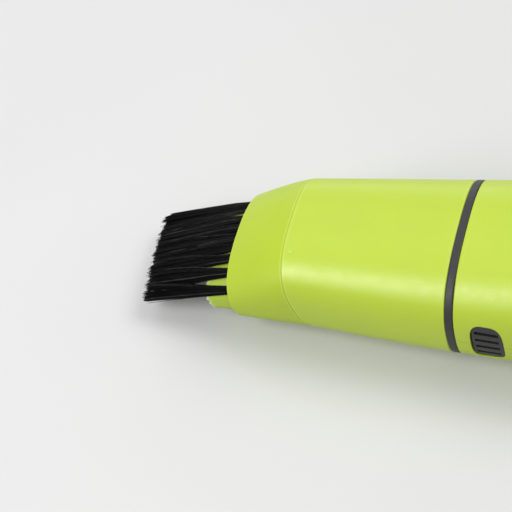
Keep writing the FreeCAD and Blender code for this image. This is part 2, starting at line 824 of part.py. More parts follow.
def shell_screws():
    screws = []
    long = SCREW_CROSS_L / 2
    thin = SCREW_CROSS_W / 2
    low = SCREW_SEAT - SCREW_HEAD
    for x, y in screw_places():
        head = post(low, SCREW_SEAT, SCREW_HEAD_R, x, y)
        shank = post(SCREW_SEAT, SCREW_SEAT + SCREW_LENGTH, SCREW_R, x, y)
        along = block(x - long, x + long, y - thin, y + thin, low, low + SCREW_CROSS_DEPTH)
        across = block(x - thin, x + thin, y - long, y + long, low, low + SCREW_CROSS_DEPTH)
        screws.append(head.fuse(shank).cut(along).cut(across))
    return Part.makeCompound(screws)


def side_grips():
    """Soft pads let into both sides, with upright grooves inside a plain border."""
    x0 = GRIP_X - GRIP_PAD_HALF_L - PAST
    x1 = GRIP_X + GRIP_PAD_HALF_L + PAST
    prism = side_prism(GRIP_X, GRIP_PAD_HALF_L, GRIP_PAD_HALF_H)
    pads = both_sides(prism.common(skin(x0, x1, -GRIP_PAD_PROUD).cut(skin(x0, x1, GRIP_PAD_DEPTH))))
    half_h = GRIP_PAD_HALF_H - GRIP_BORDER
    count = int((2 * GRIP_PAD_HALF_L - GRIP_BORDER) / GRIP_RIB_PITCH)
    grooves = []
    for i in range(count):
        x = GRIP_X + (i - (count - 1) / 2) * GRIP_RIB_PITCH - GRIP_GROOVE / 2
        bar = block(x, x + GRIP_GROOVE, -BIG, BIG, parting_height() - half_h, parting_height() + half_h)
        grooves.append(bar.cut(straight(x, GRIP_GROOVE_FLOOR, x - PAST, GRIP_GROOVE + 2 * PAST)))
    return pads.cut(both_sides(Part.makeCompound(grooves)))


def vent_grilles():
    floor = skin(SHELL_X, CAP_X, WALL + VENT_LIP)
    front = block(-BIG, FAN_X + VENT_STAND, -BIG, BIG, -BIG, BIG)
    plug = vent_window().common(skin(SHELL_X, CAP_X, VENT_SUNK).cut(floor))
    lip = vent_window(VENT_LIP).common(skin(SHELL_X, CAP_X, WALL + VENT_STAND).cut(floor))
    grille = plug.fuse(lip).cut(front)
    pitch = 2 * VENT_HALF_H / (VENT_SLOTS + 1)
    half_l = VENT_L / 2 - VENT_BORDER
    half_w = VENT_SLOT_W / 2
    x = vent_centre()
    for i in range(VENT_SLOTS):
        z = parting_height() + (i - (VENT_SLOTS - 1) / 2) * pitch
        grille = grille.cut(block(x - half_l, x + half_l, -BIG, BIG, z - half_w, z + half_w))
    return Part.makeCompound(grille.Solids)


# ---- fan and motor ------------------------------------------------------------------------------------
def fan_bulkhead():
    plate = straight(BULKHEAD_X, WALL + SEAT_CLEARANCE, BULKHEAD_X, BULKHEAD_THICK)
    return plate.cut(rod(BULKHEAD_X - PAST, FAN_X + PAST, EYE_R, 0, fan_axis()))


def fan_housing():
    z = fan_axis()
    radius = fan_housing_r()
    inner = radius - FAN_WALL
    floor = MOTOR_X - FAN_FLOOR
    body = rod(FAN_X, MOTOR_X, radius, 0, z).cut(rod(FAN_X, floor, inner, 0, z))
    half_h = VENT_HALF_H - VENT_SLOT_W / 2
    window = block(FAN_X + PAST, floor, -BIG, BIG, z - half_h, z + half_h)
    body = body.cut(window.cut(rod(-BIG, BIG, inner - HAIR, 0, z)))
    body = body.cut(rod(FAN_X, MOTOR_X + PAST, MOTOR_BOSS_R + SEAT_CLEARANCE, 0, z))
    for side in (-1, 1):
        y = side * MOTOR_SCREW_Y
        body = body.cut(rod(FAN_X, MOTOR_X + PAST, MOTOR_SCREW_R + SCREW_PLAY, y, z))
        body = body.cut(rod(FAN_X, floor + MOTOR_SCREW_SEAT, 2 * MOTOR_SCREW_R + SCREW_PLAY, y, z))
    return body


def disc_x():
    return MOTOR_X - FAN_FLOOR - FAN_TIP_GAP - IMPELLER_DISC


def impeller_blade(x0):
    """One bent blade with the fan's axis at 0."""
    bend_r = impeller_r() * BLADE_BEND
    sweep = math.radians(BLADE_SWEEP)
    blade = rod(x0, disc_x() + BLADE_SUNK, bend_r + BLADE_THICK / 2)
    blade = blade.cut(rod(x0 - PAST, disc_x() + PAST, bend_r - BLADE_THICK / 2))
    blade.translate(Vector(0, bend_r * math.cos(sweep), bend_r * math.sin(sweep)))
    blade = blade.common(rod(x0 - PAST, MOTOR_X, impeller_r() - BLADE_TRIM))
    blade = blade.cut(rod(x0 - PAST, MOTOR_X, HUB_R - 2 * BLADE_SUNK))
    return blade.common(block(x0 - PAST, MOTOR_X, -BIG, BIG, -BIG, 0))


def impeller():
    z = fan_axis()
    x0 = FAN_X + FAN_TIP_GAP
    rear = disc_x() + IMPELLER_DISC
    wheel = rod(disc_x(), rear, impeller_r(), 0, z).fuse(rod(x0 + HUB_SETBACK, rear, HUB_R, 0, z))
    for i in range(BLADE_COUNT):
        blade = impeller_blade(x0)
        blade.rotate(Vector(0, 0, 0), Vector(1, 0, 0), 360.0 * i / BLADE_COUNT)
        wheel = wheel.fuse(blade.translated(Vector(0, 0, z)))
    return wheel.cut(rod(0, BIG, SHAFT_R, 0, z)).removeSplitter()


def motor_outline(x0, x1, grow=0.0):
    z = fan_axis()
    flat = MOTOR_FLAT + grow
    return rod(x0, x1, MOTOR_R + grow, 0, z).common(block(x0, x1, -BIG, BIG, z - flat, z + flat))


def motor_can():
    z = fan_axis()
    body = motor_outline(MOTOR_X, BELL_X)
    front = MOTOR_X + 2 * MOTOR_WALL
    body = body.cut(motor_outline(front, BELL_X + PAST, -MOTOR_WALL))
    body = body.fuse(rod(MOTOR_X - MOTOR_BOSS_LENGTH, MOTOR_X + MOTOR_WALL, MOTOR_BOSS_R, 0, z))
    for side in (-1, 1):
        body = body.cut(rod(MOTOR_X - PAST, front + PAST, MOTOR_SCREW_R, side * MOTOR_SCREW_Y, z))
    return body.cut(rod(0, BIG, SHAFT_R + SHAFT_CLEARANCE, 0, z)).removeSplitter()


def magnet_outer():
    return MOTOR_R - MOTOR_WALL - CHAFE_GAP


def armature_r():
    return magnet_outer() - MAGNET_THICK - AIR_GAP


def magnets_x():
    return MOTOR_X + 2 * MOTOR_WALL + MAGNET_SETBACK


def motor_magnets():
    z = fan_axis()
    x0 = magnets_x()
    x1 = BELL_X - MAGNET_END_GAP
    tube = rod(x0, x1, magnet_outer(), 0, z).cut(rod(x0, x1, magnet_outer() - MAGNET_THICK, 0, z))
    height = MOTOR_FLAT - MOTOR_WALL - MAGNET_FLAT_GAP
    tube = tube.common(block(x0, x1, -BIG, BIG, z - height, z + height))
    return tube.cut(block(x0, x1, -armature_r() / 2, armature_r() / 2, -BIG, BIG))


def motor_shaft():
    front = FAN_X + FAN_TIP_GAP - HUB_SETBACK
    return rod(front, MOTOR_END - BELL_END_WALL - SHAFT_END_GAP, SHAFT_R, 0, fan_axis())


def motor_armature():
    z = fan_axis()
    x0 = magnets_x() + ARMATURE_SETBACK
    x1 = x0 + ARMATURE_LENGTH
    core = rod(x0, x1, min(armature_r(), MOTOR_FLAT - MOTOR_WALL - AIR_GAP), 0, z)
    root = armature_r() * ARMATURE_SLOT_ROOT
    for i in range(ARMATURE_POLES):
        slot = block(x0 - PAST, x1 + PAST, root, BIG, -ARMATURE_SLOT / 2, ARMATURE_SLOT / 2)
        slot.rotate(Vector(0, 0, 0), Vector(1, 0, 0), 360.0 * i / ARMATURE_POLES + 90.0)
        core = core.cut(slot.translated(Vector(0, 0, z)))
    drum = rod(x1 - COMMUTATOR_REACH, BELL_X + COMMUTATOR_REACH, COMMUTATOR_R, 0, z)
    return core.fuse(drum).cut(rod(0, BIG, SHAFT_R, 0, z)).removeSplitter()


def terminal_tab(side, end):
    """Flat tab that stands out of the motor's rear on one side, as far as end."""
    y = side * MOTOR_SCREW_Y
    z = fan_axis()
    half = TERMINAL_THICK / 2
    return block(MOTOR_END - TERMINAL_SUNK, end, y - half, y + half, z - TERMINAL_W / 2, z + TERMINAL_W / 2)


def motor_end_bell():
    z = fan_axis()
    body = motor_outline(BELL_X, MOTOR_END, -BELL_INSET)
    body = body.cut(rod(BELL_X - PAST, BELL_X + BELL_POCKET, COMMUTATOR_R + COMMUTATOR_GAP, 0, z))
    for side in (-1, 1):
        body = body.cut(terminal_tab(side, MOTOR_END))
    return body.cut(rod(0, MOTOR_END - BELL_END_WALL, SHAFT_R + SHAFT_CLEARANCE, 0, z))


def terminal_end():
    return MOTOR_END + TRAY_GAP * TERMINAL_SHARE


def motor_terminals():
    return Part.makeCompound([terminal_tab(side, terminal_end()) for side in (-1, 1)])


def motor_screws():
    z = fan_axis()
    screws = []
    seat = MOTOR_X - FAN_FLOOR + MOTOR_SCREW_SEAT
    low = seat - MOTOR_SCREW_HEAD
    half = MOTOR_SCREW_SLOT / 2
    for side in (-1, 1):
        y = side * MOTOR_SCREW_Y
        head = rod(low, seat, MOTOR_SCREW_HEAD_R, y, z)
        slot = block(low, low + MOTOR_SCREW_HEAD / 2, y - half, y + half, z - SCREW_CROSS_L / 2,
                     z + SCREW_CROSS_L / 2)
        shank = rod(seat, MOTOR_X + 2 * MOTOR_WALL, MOTOR_SCREW_R, y, z)
        screws.append(head.cut(slot).fuse(shank))
    return Part.makeCompound(screws)


# ---- switch -------------------------------------------------------------------------------------------
def switch_x():
    return MOTOR_X + MOTOR_CAN_LENGTH / 2 + SWITCH_TRAVEL


def bezel_half_l():
    return (KNOB_L + SWITCH_TRAVEL) / 2 + BEZEL_MARGIN


def bezel_half_w():
    return KNOB_W / 2 + BEZEL_MARGIN / 2


def bezel_top():
    """Height of the bezel's flat face: sunk below the skin at its lower, front end."""
    x = switch_x() - bezel_half_l()
    return centre_height(x) + skin_half_height(x, bezel_half_w()) - BEZEL_SUNK


def lip_top():
    """Underside of the shell's wall at the lip's lower corner, less a clearance."""
    x = switch_x() - bezel_half_l() - BEZEL_LIP
    width, height, roundness, belly, lean = skin_law(x)
    across = (bezel_half_w() + BEZEL_LIP) / (width / 2 - WALL)
    drop = (height / 2 - WALL) * (1 - across ** roundness) ** (1 / roundness)
    return belly + height / 2 + drop - CHAFE_GAP


def switch_base():
    return lip_top() - BEZEL_LIP


def bezel_plate(extra=0.0):
    half_l = bezel_half_l() + extra
    half_w = bezel_half_w() + extra
    plate = block(switch_x() - half_l, switch_x() + half_l, -half_w, half_w, switch_base(), 2 * LONG)
    return plate.makeFillet(BEZEL_CORNER + extra, upright_edges(plate))


def upright_edges(shape):
    return [edge for edge in shape.Edges if edge.BoundBox.ZLength > EDGE_SEARCH]


def stem_slot():
    """Way of the switch's stem: its rest place is the rear end."""
    half_l = (SWITCH_TRAVEL + STEM_L) / 2 + SLIDE_GAP
    half_w = STEM_W / 2 + SLIDE_GAP
    return block(switch_x() - half_l, switch_x() + half_l, -half_w, half_w, 0, BIG)


def switch_bezel():
    plate = bezel_plate().common(block(-BIG, BIG, -BIG, BIG, -BIG, bezel_top()))
    half_l = bezel_half_l() + BEZEL_LIP
    half_w = bezel_half_w() + BEZEL_LIP
    top = lip_top() - CHAFE_GAP
    lip = block(switch_x() - half_l, switch_x() + half_l, -half_w, half_w, switch_base(), top)
    half_l = bezel_half_l() - POCKET_MARGIN
    half_w = bezel_half_w() - POCKET_MARGIN
    pocket = block(switch_x() - half_l, switch_x() + half_l, -half_w, half_w, pocket_floor(), BIG)
    pocket = pocket.makeFillet(POCKET_CORNER, upright_edges(pocket))
    return plate.fuse(lip).cut(pocket).cut(stem_slot()).removeSplitter()


def pocket_floor():
    return bezel_top() - POCKET_DEPTH


def stem_top():
    return pocket_floor() + KNOB_LIFT + STEM_SOCKET


def rest_x():
    """Middle of the knob and slider at rest, with the switch off."""
    return switch_x() + SWITCH_TRAVEL / 2


def switch_way_half_w():
    return SWITCH_BODY_W / 2 - SWITCH_SHELL - SLIDE_GAP / 2


def switch_way_floor():
    return switch_base() - SWITCH_BODY_H + 2 * SWITCH_SHELL


def switch_body():
    """Slide switch under the bezel: a small box with a way for the slider's foot."""
    half_l = (STEM_L + SWITCH_TRAVEL) / 2 + SWITCH_END
    top = switch_base()
    body = block(switch_x() - half_l, switch_x() + half_l, -SWITCH_BODY_W / 2, SWITCH_BODY_W / 2,
                 top - SWITCH_BODY_H, top)
    way_l = (STEM_L + SWITCH_TRAVEL) / 2 + SWITCH_WAY_END
    way = block(switch_x() - way_l, switch_x() + way_l, -switch_way_half_w(), switch_way_half_w(),
                switch_way_floor(), top - SWITCH_SHELL)
    return body.cut(way).cut(stem_slot().common(block(-BIG, BIG, -BIG, BIG, top - PAST, BIG)))


def switch_slider():
    top = switch_base() - SWITCH_SHELL
    x = rest_x()
    half_l = STEM_L / 2 + SLIDER_TOE
    half_w = switch_way_half_w() - SLIDE_GAP
    foot = block(x - half_l, x + half_l, -half_w, half_w, switch_way_floor() + SLIDE_GAP, top - SLIDE_GAP)
    stem = block(x - STEM_L / 2, x + STEM_L / 2, -STEM_W / 2, STEM_W / 2, top - STEM_ROOT, stem_top())
    return foot.fuse(stem).removeSplitter()


def switch_knob():
    x = rest_x()
    low = pocket_floor() + KNOB_LIFT
    top = bezel_top() + KNOB_PROUD
    half_l = KNOB_L / 2
    half_w = KNOB_W / 2 - KNOB_SIDE_GAP
    knob = block(x - half_l, x + half_l, -half_w, half_w, low, top)
    knob = knob.makeFillet(KNOB_CORNER, upright_edges(knob))
    knob = knob.makeFillet(KNOB_ROUND, [edge for edge in knob.Edges if edge.BoundBox.ZMin > top - HAIR])
    pitch = 2 * (half_l - KNOB_END) / KNOB_RIBS
    for i in range(KNOB_RIBS):
        start = x + (i - (KNOB_RIBS - 1) / 2) * pitch - KNOB_GROOVE / 2
        knob = knob.cut(block(start, start + KNOB_GROOVE, -BIG, BIG, top - KNOB_GROOVE_DEPTH, BIG))
    socket = block(x - STEM_L / 2, x + STEM_L / 2, -STEM_W / 2, STEM_W / 2, low - PAST, stem_top())
    return knob.cut(socket)


def pin_x():
    return switch_x() + PIN_X


def switch_terminals():
    pins = []
    low = switch_base() - SWITCH_BODY_H + PIN_LIFT
    x = pin_x()
    for side in (-1, 1):
        inner = side * SWITCH_BODY_W / 2
        outer = inner + side * PIN_THICK
        pins.append(block(x - PIN_L / 2, x + PIN_L / 2, min(inner, outer), max(inner, outer), low, low + PIN_H))
    return Part.makeCompound(pins)


# ---- cells --------------------------------------------------------------------------------------------
def tray_bottom():
    return cell_axis() - CELL_R - CELL_PLAY - TRAY_WALL


def tray_half_w():
    return cell_y() + CELL_R + CELL_PLAY + TRAY_WALL


def battery_tray():
    z = cell_axis()
    front = TRAY_X + TRAY_WALL
    rear = CAP_X - TRAY_REAR_GAP
    half_w = tray_half_w()
    body = block(front, rear, -half_w, half_w, tray_bottom(), z - TRAY_RIM_DROP)
    low = [edge for edge in along_edges(body) if edge.BoundBox.ZMax < z - CELL_R]
    body = body.makeFillet(TRAY_CORNER, low)
    for side in (-1, 1):
        body = body.cut(rod(0, BIG, CELL_R + CELL_PLAY, side * cell_y(), z))
    half_h = CELL_R + CELL_PLAY
    wall = block(TRAY_X, front, -half_w, half_w, z - half_h, z + half_h)
    wall = wall.makeFillet(TRAY_CORNER, along_edges(wall))
    divider = block(front, rear, -CELL_DIVIDER / 2, CELL_DIVIDER / 2, z - DIVIDER_FOOT, z + DIVIDER_TOP)
    tray = body.fuse(wall).fuse(divider)
    for side in (-1, 1):
        tray = tray.cut(contact_tab(side, TRAY_X - PAST, front + HAIR, CONTACT_TAB_GAP))
    return tray.removeSplitter()


def along_edges(shape):
    return [edge for edge in shape.Edges if edge.BoundBox.XLength > EDGE_SEARCH]


def contact_tab(side, x0, x1, grow=0.0):
    """Flat tab of a front contact, which comes through the tray's wall."""
    y = side * cell_y()
    half_w = CONTACT_TAB_W / 2 + grow
    half_h = CONTACT_THICK / 2 + grow
    return block(x0, x1, y - half_w, y + half_w, tab_z() - half_h, tab_z() + half_h)


def tab_z():
    return cell_axis() + CONTACT_SIZE / 2 - CONTACT_TAB_DROP


def cell(side):
    """A round cell; the left one has its nub forwards, the right one to the rear."""
    y = side * cell_y()
    z = cell_axis()
    if side < 0:
        can = rod(CELL_X + CELL_NUB, CELL_END, CELL_R, y, z)
        nub = rod(CELL_X, CELL_X + CELL_NUB, CELL_NUB_R, y, z)
    else:
        can = rod(CELL_X, CELL_END - CELL_NUB, CELL_R, y, z)
        nub = rod(CELL_END - CELL_NUB, CELL_END, CELL_NUB_R, y, z)
    can = can.makeFillet(CELL_EDGE, [edge for edge in can.Edges if edge.BoundBox.XLength < HAIR])
    return can.fuse(nub).removeSplitter()


def cell_left():
    return cell(-1)


def cell_right():
    return cell(1)


def contact_plate(x, side):
    y = side * cell_y()
    z = cell_axis()
    half = CONTACT_SIZE / 2
    return block(x, x + CONTACT_THICK, y - half, y + half, z - half, z + half)


def dish(x0, x1, r0, r1, y):
    return Part.makeCone(r0, r1, x1 - x0, Vector(x0, y, cell_axis()), Vector(1, 0, 0))


def front_contacts():
    """Two plates on the tray's front wall, one dished to meet the left cell's nub."""
    x = TRAY_X + TRAY_WALL
    plates = []
    for side in (-1, 1):
        tab = contact_tab(side, TRAY_X - CONTACT_TAB_REACH, x + CONTACT_THICK / 2)
        plates.append(contact_plate(x, side).fuse(tab))
    plates[0] = plates[0].fuse(dish(x + CONTACT_THICK, CELL_X - SPRING_END_GAP, DISH_R, DISH_TOP_R, -cell_y()))
    return Part.makeCompound([plate.removeSplitter() for plate in plates])


def coil_spring(x, y, z):
    """Short round spring with its axis along X, bent in arcs that climb evenly."""
    stand_off = SPRING_WIRE + SPRING_END_GAP
    climb = SPRING_LENGTH - 2 * stand_off
    step = 2 * math.pi / SPRING_CORNERS
    count = int(SPRING_TURNS * SPRING_CORNERS)
    points = []
    for i in range(count + 1):
        reach = SPRING_R if i in (0, count) else SPRING_R / math.cos(step / 2)
        side = Vector(0, reach * math.cos(step * i), reach * math.sin(step * i))
        points.append(Vector(x + stand_off + climb * i / count, y, z) + side)
    return wire_tube(points, SPRING_WIRE)


def front_spring():
    return coil_spring(TRAY_X + TRAY_WALL + CONTACT_THICK, cell_y(), cell_axis())


def rear_spring():
    return coil_spring(CELL_END, -cell_y(), cell_axis())


def bridge_half_w():
    return cell_y() + CONTACT_SIZE / 2


def rear_contact():
    """Bridge in the tail cap: joins the two cells, dished for the right one's nub."""
    z = cell_axis()
    half_h = CONTACT_SIZE / 2
    plate = block(BRIDGE_X, BRIDGE_X + CONTACT_THICK, -bridge_half_w(), bridge_half_w(), z - half_h, z + half_h)
    return plate.fuse(dish(CELL_END + DISH_GAP, BRIDGE_X, DISH_TOP_R, DISH_R, cell_y())).removeSplitter()


# ---- tail ---------------------------------------------------------------------------------------------
def dome_ring(t, inset):
    """Section of the tail's dome; t runs from 0 at its start to 1 at the tail."""
    full = math.radians(DOME_SWEEP)
    angle = full * t
    x = DOME_X + CAP_DOME * math.sin(angle) / math.sin(full) - inset * t * DOME_WALL_SHARE
    scale = 1 - (1 - TAIL_END_SCALE) * (1 - math.cos(angle)) / (1 - math.cos(full))
    width, height, roundness, belly, lean = skin_law(DOME_X)
    return oval(x, width / 2 * scale - inset, height / 2 * scale - inset, roundness, belly + height / 2)


def dome(inset):
    return loft([dome_ring(i / DOME_STEPS, inset) for i in range(DOME_STEPS + 1)])


def tail_cap():
    body = skin(CAP_X, DOME_X, 0)
    body = body.makeFillet(EDGE_ROUND, outer_edges(body, CAP_X, EDGE_SEARCH)).fuse(dome(0)).removeSplitter()
    hollow = skin(CAP_X, DOME_X, WALL).fuse(dome(WALL)).removeSplitter()
    end_wall = TAIL_X - CAP_END_WALL
    cap = body.cut(hollow.cut(block(end_wall, BIG, -BIG, BIG, -BIG, BIG)))
    z = cell_axis()
    half_w = bridge_half_w()
    shelf = block(BRIDGE_X + CONTACT_THICK, end_wall + SPIGOT_ROOT, -half_w, half_w, z - SHELF_HALF_H,
                  z + SHELF_HALF_H)
    return cap.fuse(shelf.common(dome(WALL / 2))).fuse(lanyard_lug()).cut(lanyard_hole()).removeSplitter()


def lanyard_x():
    return TAIL_X + LANYARD_REACH


def lanyard_lug():
    z = cell_axis()
    half = LANYARD_LUG_THICK / 2
    ear = Part.makeCylinder(LANYARD_LUG_R, 2 * half, Vector(lanyard_x(), -half, z), Vector(0, 1, 0))
    web = block(TAIL_X - LANYARD_ROOT, lanyard_x(), -half, half, z - LANYARD_LUG_R, z + LANYARD_LUG_R)
    return ear.fuse(web)


def lanyard_hole():
    start = Vector(lanyard_x(), -LANYARD_LUG_THICK, cell_axis())
    return Part.makeCylinder(LANYARD_R, 2 * LANYARD_LUG_THICK, start, Vector(0, 1, 0))


# ---- wires --------------------------------------------------------------------------------------------
def wire_tube(points, wire_r):
    """Round wire along straight runs that tangent arcs join, each as large as its runs allow."""
    edges = []
    last = points[0]
    for i in range(1, len(points) - 1):
        before = points[i - 1] - points[i]
        after = points[i + 1] - points[i]
        turn = math.pi - before.getAngle(after)
        back = ARC_SHARE * min(before.Length, after.Length)
        radius = back / math.tan(turn / 2)
        before.normalize()
        after.normalize()
        start = points[i] + before * back
        end = points[i] + after * back
        bisector = before + after
        bisector.normalize()
        to_centre = radius / math.cos(turn / 2)
        middle = points[i] + bisector * (to_centre - radius)
        edges.append(Part.LineSegment(last, start).toShape())
        edges.append(Part.Arc(start, middle, end).toShape())
        last = end
    edges.append(Part.LineSegment(last, points[-1]).toShape())
    path = Part.Wire(edges)
    profile = Part.Wire([Part.makeCircle(wire_r, points[0], points[1] - points[0])])
    return path.makePipeShell([profile], True, False)


def pin_side():
    """Distance from the middle to the lead that is soldered on a switch pin."""
    return SWITCH_BODY_W / 2 + PIN_THICK + LEAD_R


def pin_height():
    return switch_base() - SWITCH_BODY_H + PIN_LIFT + PIN_H / 2


def tab_lead_z():
    return tab_z() + CONTACT_THICK / 2 + LEAD_R


def switch_lead():
    """From the left cell's contact to the switch."""
    start_x = TRAY_X - LEAD_SETBACK
    return wire_tube([
        Vector(start_x, -cell_y(), tab_lead_z()),
        Vector(start_x, -cell_y(), tab_lead_z() + LEAD_RISE),
        Vector(MOTOR_END - LEAD_R, -cell_y(), pin_height() + LEAD_R),
        Vector(pin_x() + PIN_APPROACH, -pin_side() - LEAD_R, pin_height()),
        Vector(pin_x() - PIN_L / 2, -pin_side(), pin_height()),
    ], LEAD_R)


def motor_lead():
    """From the switch to the motor's right terminal."""
    end_x = terminal_end() - LEAD_R
    end_y = MOTOR_SCREW_Y + TERMINAL_THICK / 2 + LEAD_R
    return wire_tube([
        Vector(pin_x() - PIN_L / 2, pin_side(), pin_height()),
        Vector(pin_x() + PIN_APPROACH, pin_side() + LEAD_R, pin_height()),
        Vector(end_x, end_y + LEAD_R, pin_height() - LEAD_R),
        Vector(end_x, end_y, fan_axis() + PIN_APPROACH),
        Vector(end_x, end_y, fan_axis() - LEAD_R),
    ], LEAD_R)


def return_lead():
    """From the motor's left terminal back to the right cell's contact."""
    start_y = -MOTOR_SCREW_Y + TERMINAL_THICK / 2 + LEAD_R
    start_x = terminal_end() - LEAD_R
    end_x = TRAY_X - LEAD_SETBACK
    return wire_tube([
        Vector(start_x, start_y, fan_axis() - LEAD_R),
        Vector(start_x, start_y + LEAD_R, fan_axis() + PIN_APPROACH),
        Vector(start_x, MOTOR_SCREW_Y - LEAD_APART, tab_lead_z() + LEAD_SETBACK),
        Vector(end_x, cell_y() - LEAD_SETBACK, tab_lead_z()),
        Vector(end_x, cell_y() + LEAD_SETBACK, tab_lead_z()),
    ], LEAD_R)


# ---- export -------------------------------------------------------------------------------------------
PIECES = (
    nozzle_hood, brush_carrier, brush_tufts, nozzle_seal,
    dust_barrel, filter_frame, filter_cloth,
    collar_ring, upper_shell, lower_shell, side_grips, vent_grilles, rubber_feet, shell_screws,
    fan_bulkhead, fan_housing, impeller, motor_shaft, motor_armature,
    motor_can, motor_magnets, motor_end_bell, motor_terminals, motor_screws,
    switch_bezel, switch_body, switch_slider, switch_knob, switch_terminals,
    battery_tray, cell_left, cell_right, front_contacts, front_spring, rear_contact, rear_spring,
    tail_cap, switch_lead, motor_lead, return_lead,
)


def to_part_frame():
    """Shift that puts the middle of the footprint, on the feet's plane, at the origin."""
    tail = lanyard_x() + LANYARD_LUG_R
    return Vector(-(brush_tip_x(max(TUFT_SHARES)) + tail) / 2, 0, -foot_plane())


def main():
    os.makedirs("parts", exist_ok=True)
    shift = to_part_frame()
    for make in PIECES:
        shape = make()
        shape.translate(shift)
        shape.exportStep(os.path.join("parts", make.__name__ + ".step"))
        solids = shape.Solids
        print(make.__name__, len(solids), "solids", round(sum(s.Volume for s in solids), 1), shape.isValid())
    print("shift", round(shift.x, 3), round(shift.z, 3), "tail", round(TAIL_X, 2))


main()
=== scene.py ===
import bpy
import json
import math
import random
from mathutils import Matrix, Vector, noise


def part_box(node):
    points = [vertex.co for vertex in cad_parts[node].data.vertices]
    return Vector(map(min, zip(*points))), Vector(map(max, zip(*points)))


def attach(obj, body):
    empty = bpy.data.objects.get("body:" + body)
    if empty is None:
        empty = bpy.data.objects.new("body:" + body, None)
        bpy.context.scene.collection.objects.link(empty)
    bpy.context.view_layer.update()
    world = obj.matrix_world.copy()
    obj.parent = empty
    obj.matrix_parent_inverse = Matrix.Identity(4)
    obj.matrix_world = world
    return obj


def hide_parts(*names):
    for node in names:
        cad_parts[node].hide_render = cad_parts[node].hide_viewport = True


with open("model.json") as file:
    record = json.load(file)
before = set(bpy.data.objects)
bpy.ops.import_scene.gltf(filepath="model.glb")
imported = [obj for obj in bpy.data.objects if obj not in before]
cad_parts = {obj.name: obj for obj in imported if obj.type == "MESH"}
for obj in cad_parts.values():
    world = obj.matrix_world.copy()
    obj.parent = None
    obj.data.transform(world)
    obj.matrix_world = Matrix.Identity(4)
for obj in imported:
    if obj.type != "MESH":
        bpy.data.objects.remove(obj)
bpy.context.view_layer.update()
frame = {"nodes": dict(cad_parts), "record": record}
nodes = frame["nodes"]
scene = bpy.context.scene

# Lengths of shapes are in millimetres in a working frame. Its X starts at the nozzle's rim and its Z stands
# FEET_DROP above the plane of the feet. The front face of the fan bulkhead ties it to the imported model.
MM = 0.001
BULKHEAD_X = 58.65
FEET_DROP = 2.3
SHIFT = Vector((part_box("fan_bulkhead")[0].x - BULKHEAD_X * MM, 0.0, FEET_DROP * MM))


def put(x, y, z):
    """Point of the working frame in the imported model's metres."""
    return Vector((x, y, z)) * MM + SHIFT


def add_object(name, data):
    obj = bpy.data.objects.new(name, data)
    scene.collection.objects.link(obj)
    return obj


def add_mesh(name, vertices, faces):
    mesh = bpy.data.meshes.new(name)
    mesh.from_pydata(vertices, [], faces)
    mesh.validate()
    mesh.shade_smooth()
    return add_object(name, mesh)


# ---- camera: as fitted to the keys in the photo ---------------------------------------------------------
CAMERA_PLACE = (149.204, -240.396, 365.192)
CAMERA_RIGHT = (0.94055, 0.26651, -0.21049)
CAMERA_UP = (-0.09782, 0.80613, 0.58359)
CAMERA_BACK = (0.32522, -0.52831, 0.78429)
SENSOR_WIDTH = 36.0
LENS = 131.86
NEAREST_SEEN = 0.01
FURTHEST_SEEN = 20.0


def make_camera():
    data = bpy.data.cameras.new("camera")
    data.sensor_width = SENSOR_WIDTH
    data.lens = LENS
    data.clip_start = NEAREST_SEEN
    data.clip_end = FURTHEST_SEEN
    camera = add_object("camera", data)
    turn = Matrix((CAMERA_RIGHT, CAMERA_UP, CAMERA_BACK)).transposed().to_4x4()
    camera.matrix_world = Matrix.Translation(put(*CAMERA_PLACE)) @ turn
    scene.camera = camera


make_camera()


# ---- materials: lengths and depths in metres ------------------------------------------------------------
# Most values of a noise texture lie between these two.
NOISE_LOW = 0.3
NOISE_HIGH = 0.7
# Inputs and output of a colour mix, whose names aren't unique.
MIX_SHARE, MIX_FIRST, MIX_SECOND = 0, 6, 7
MIX_RESULT = 2
BEVEL_SAMPLES = 6


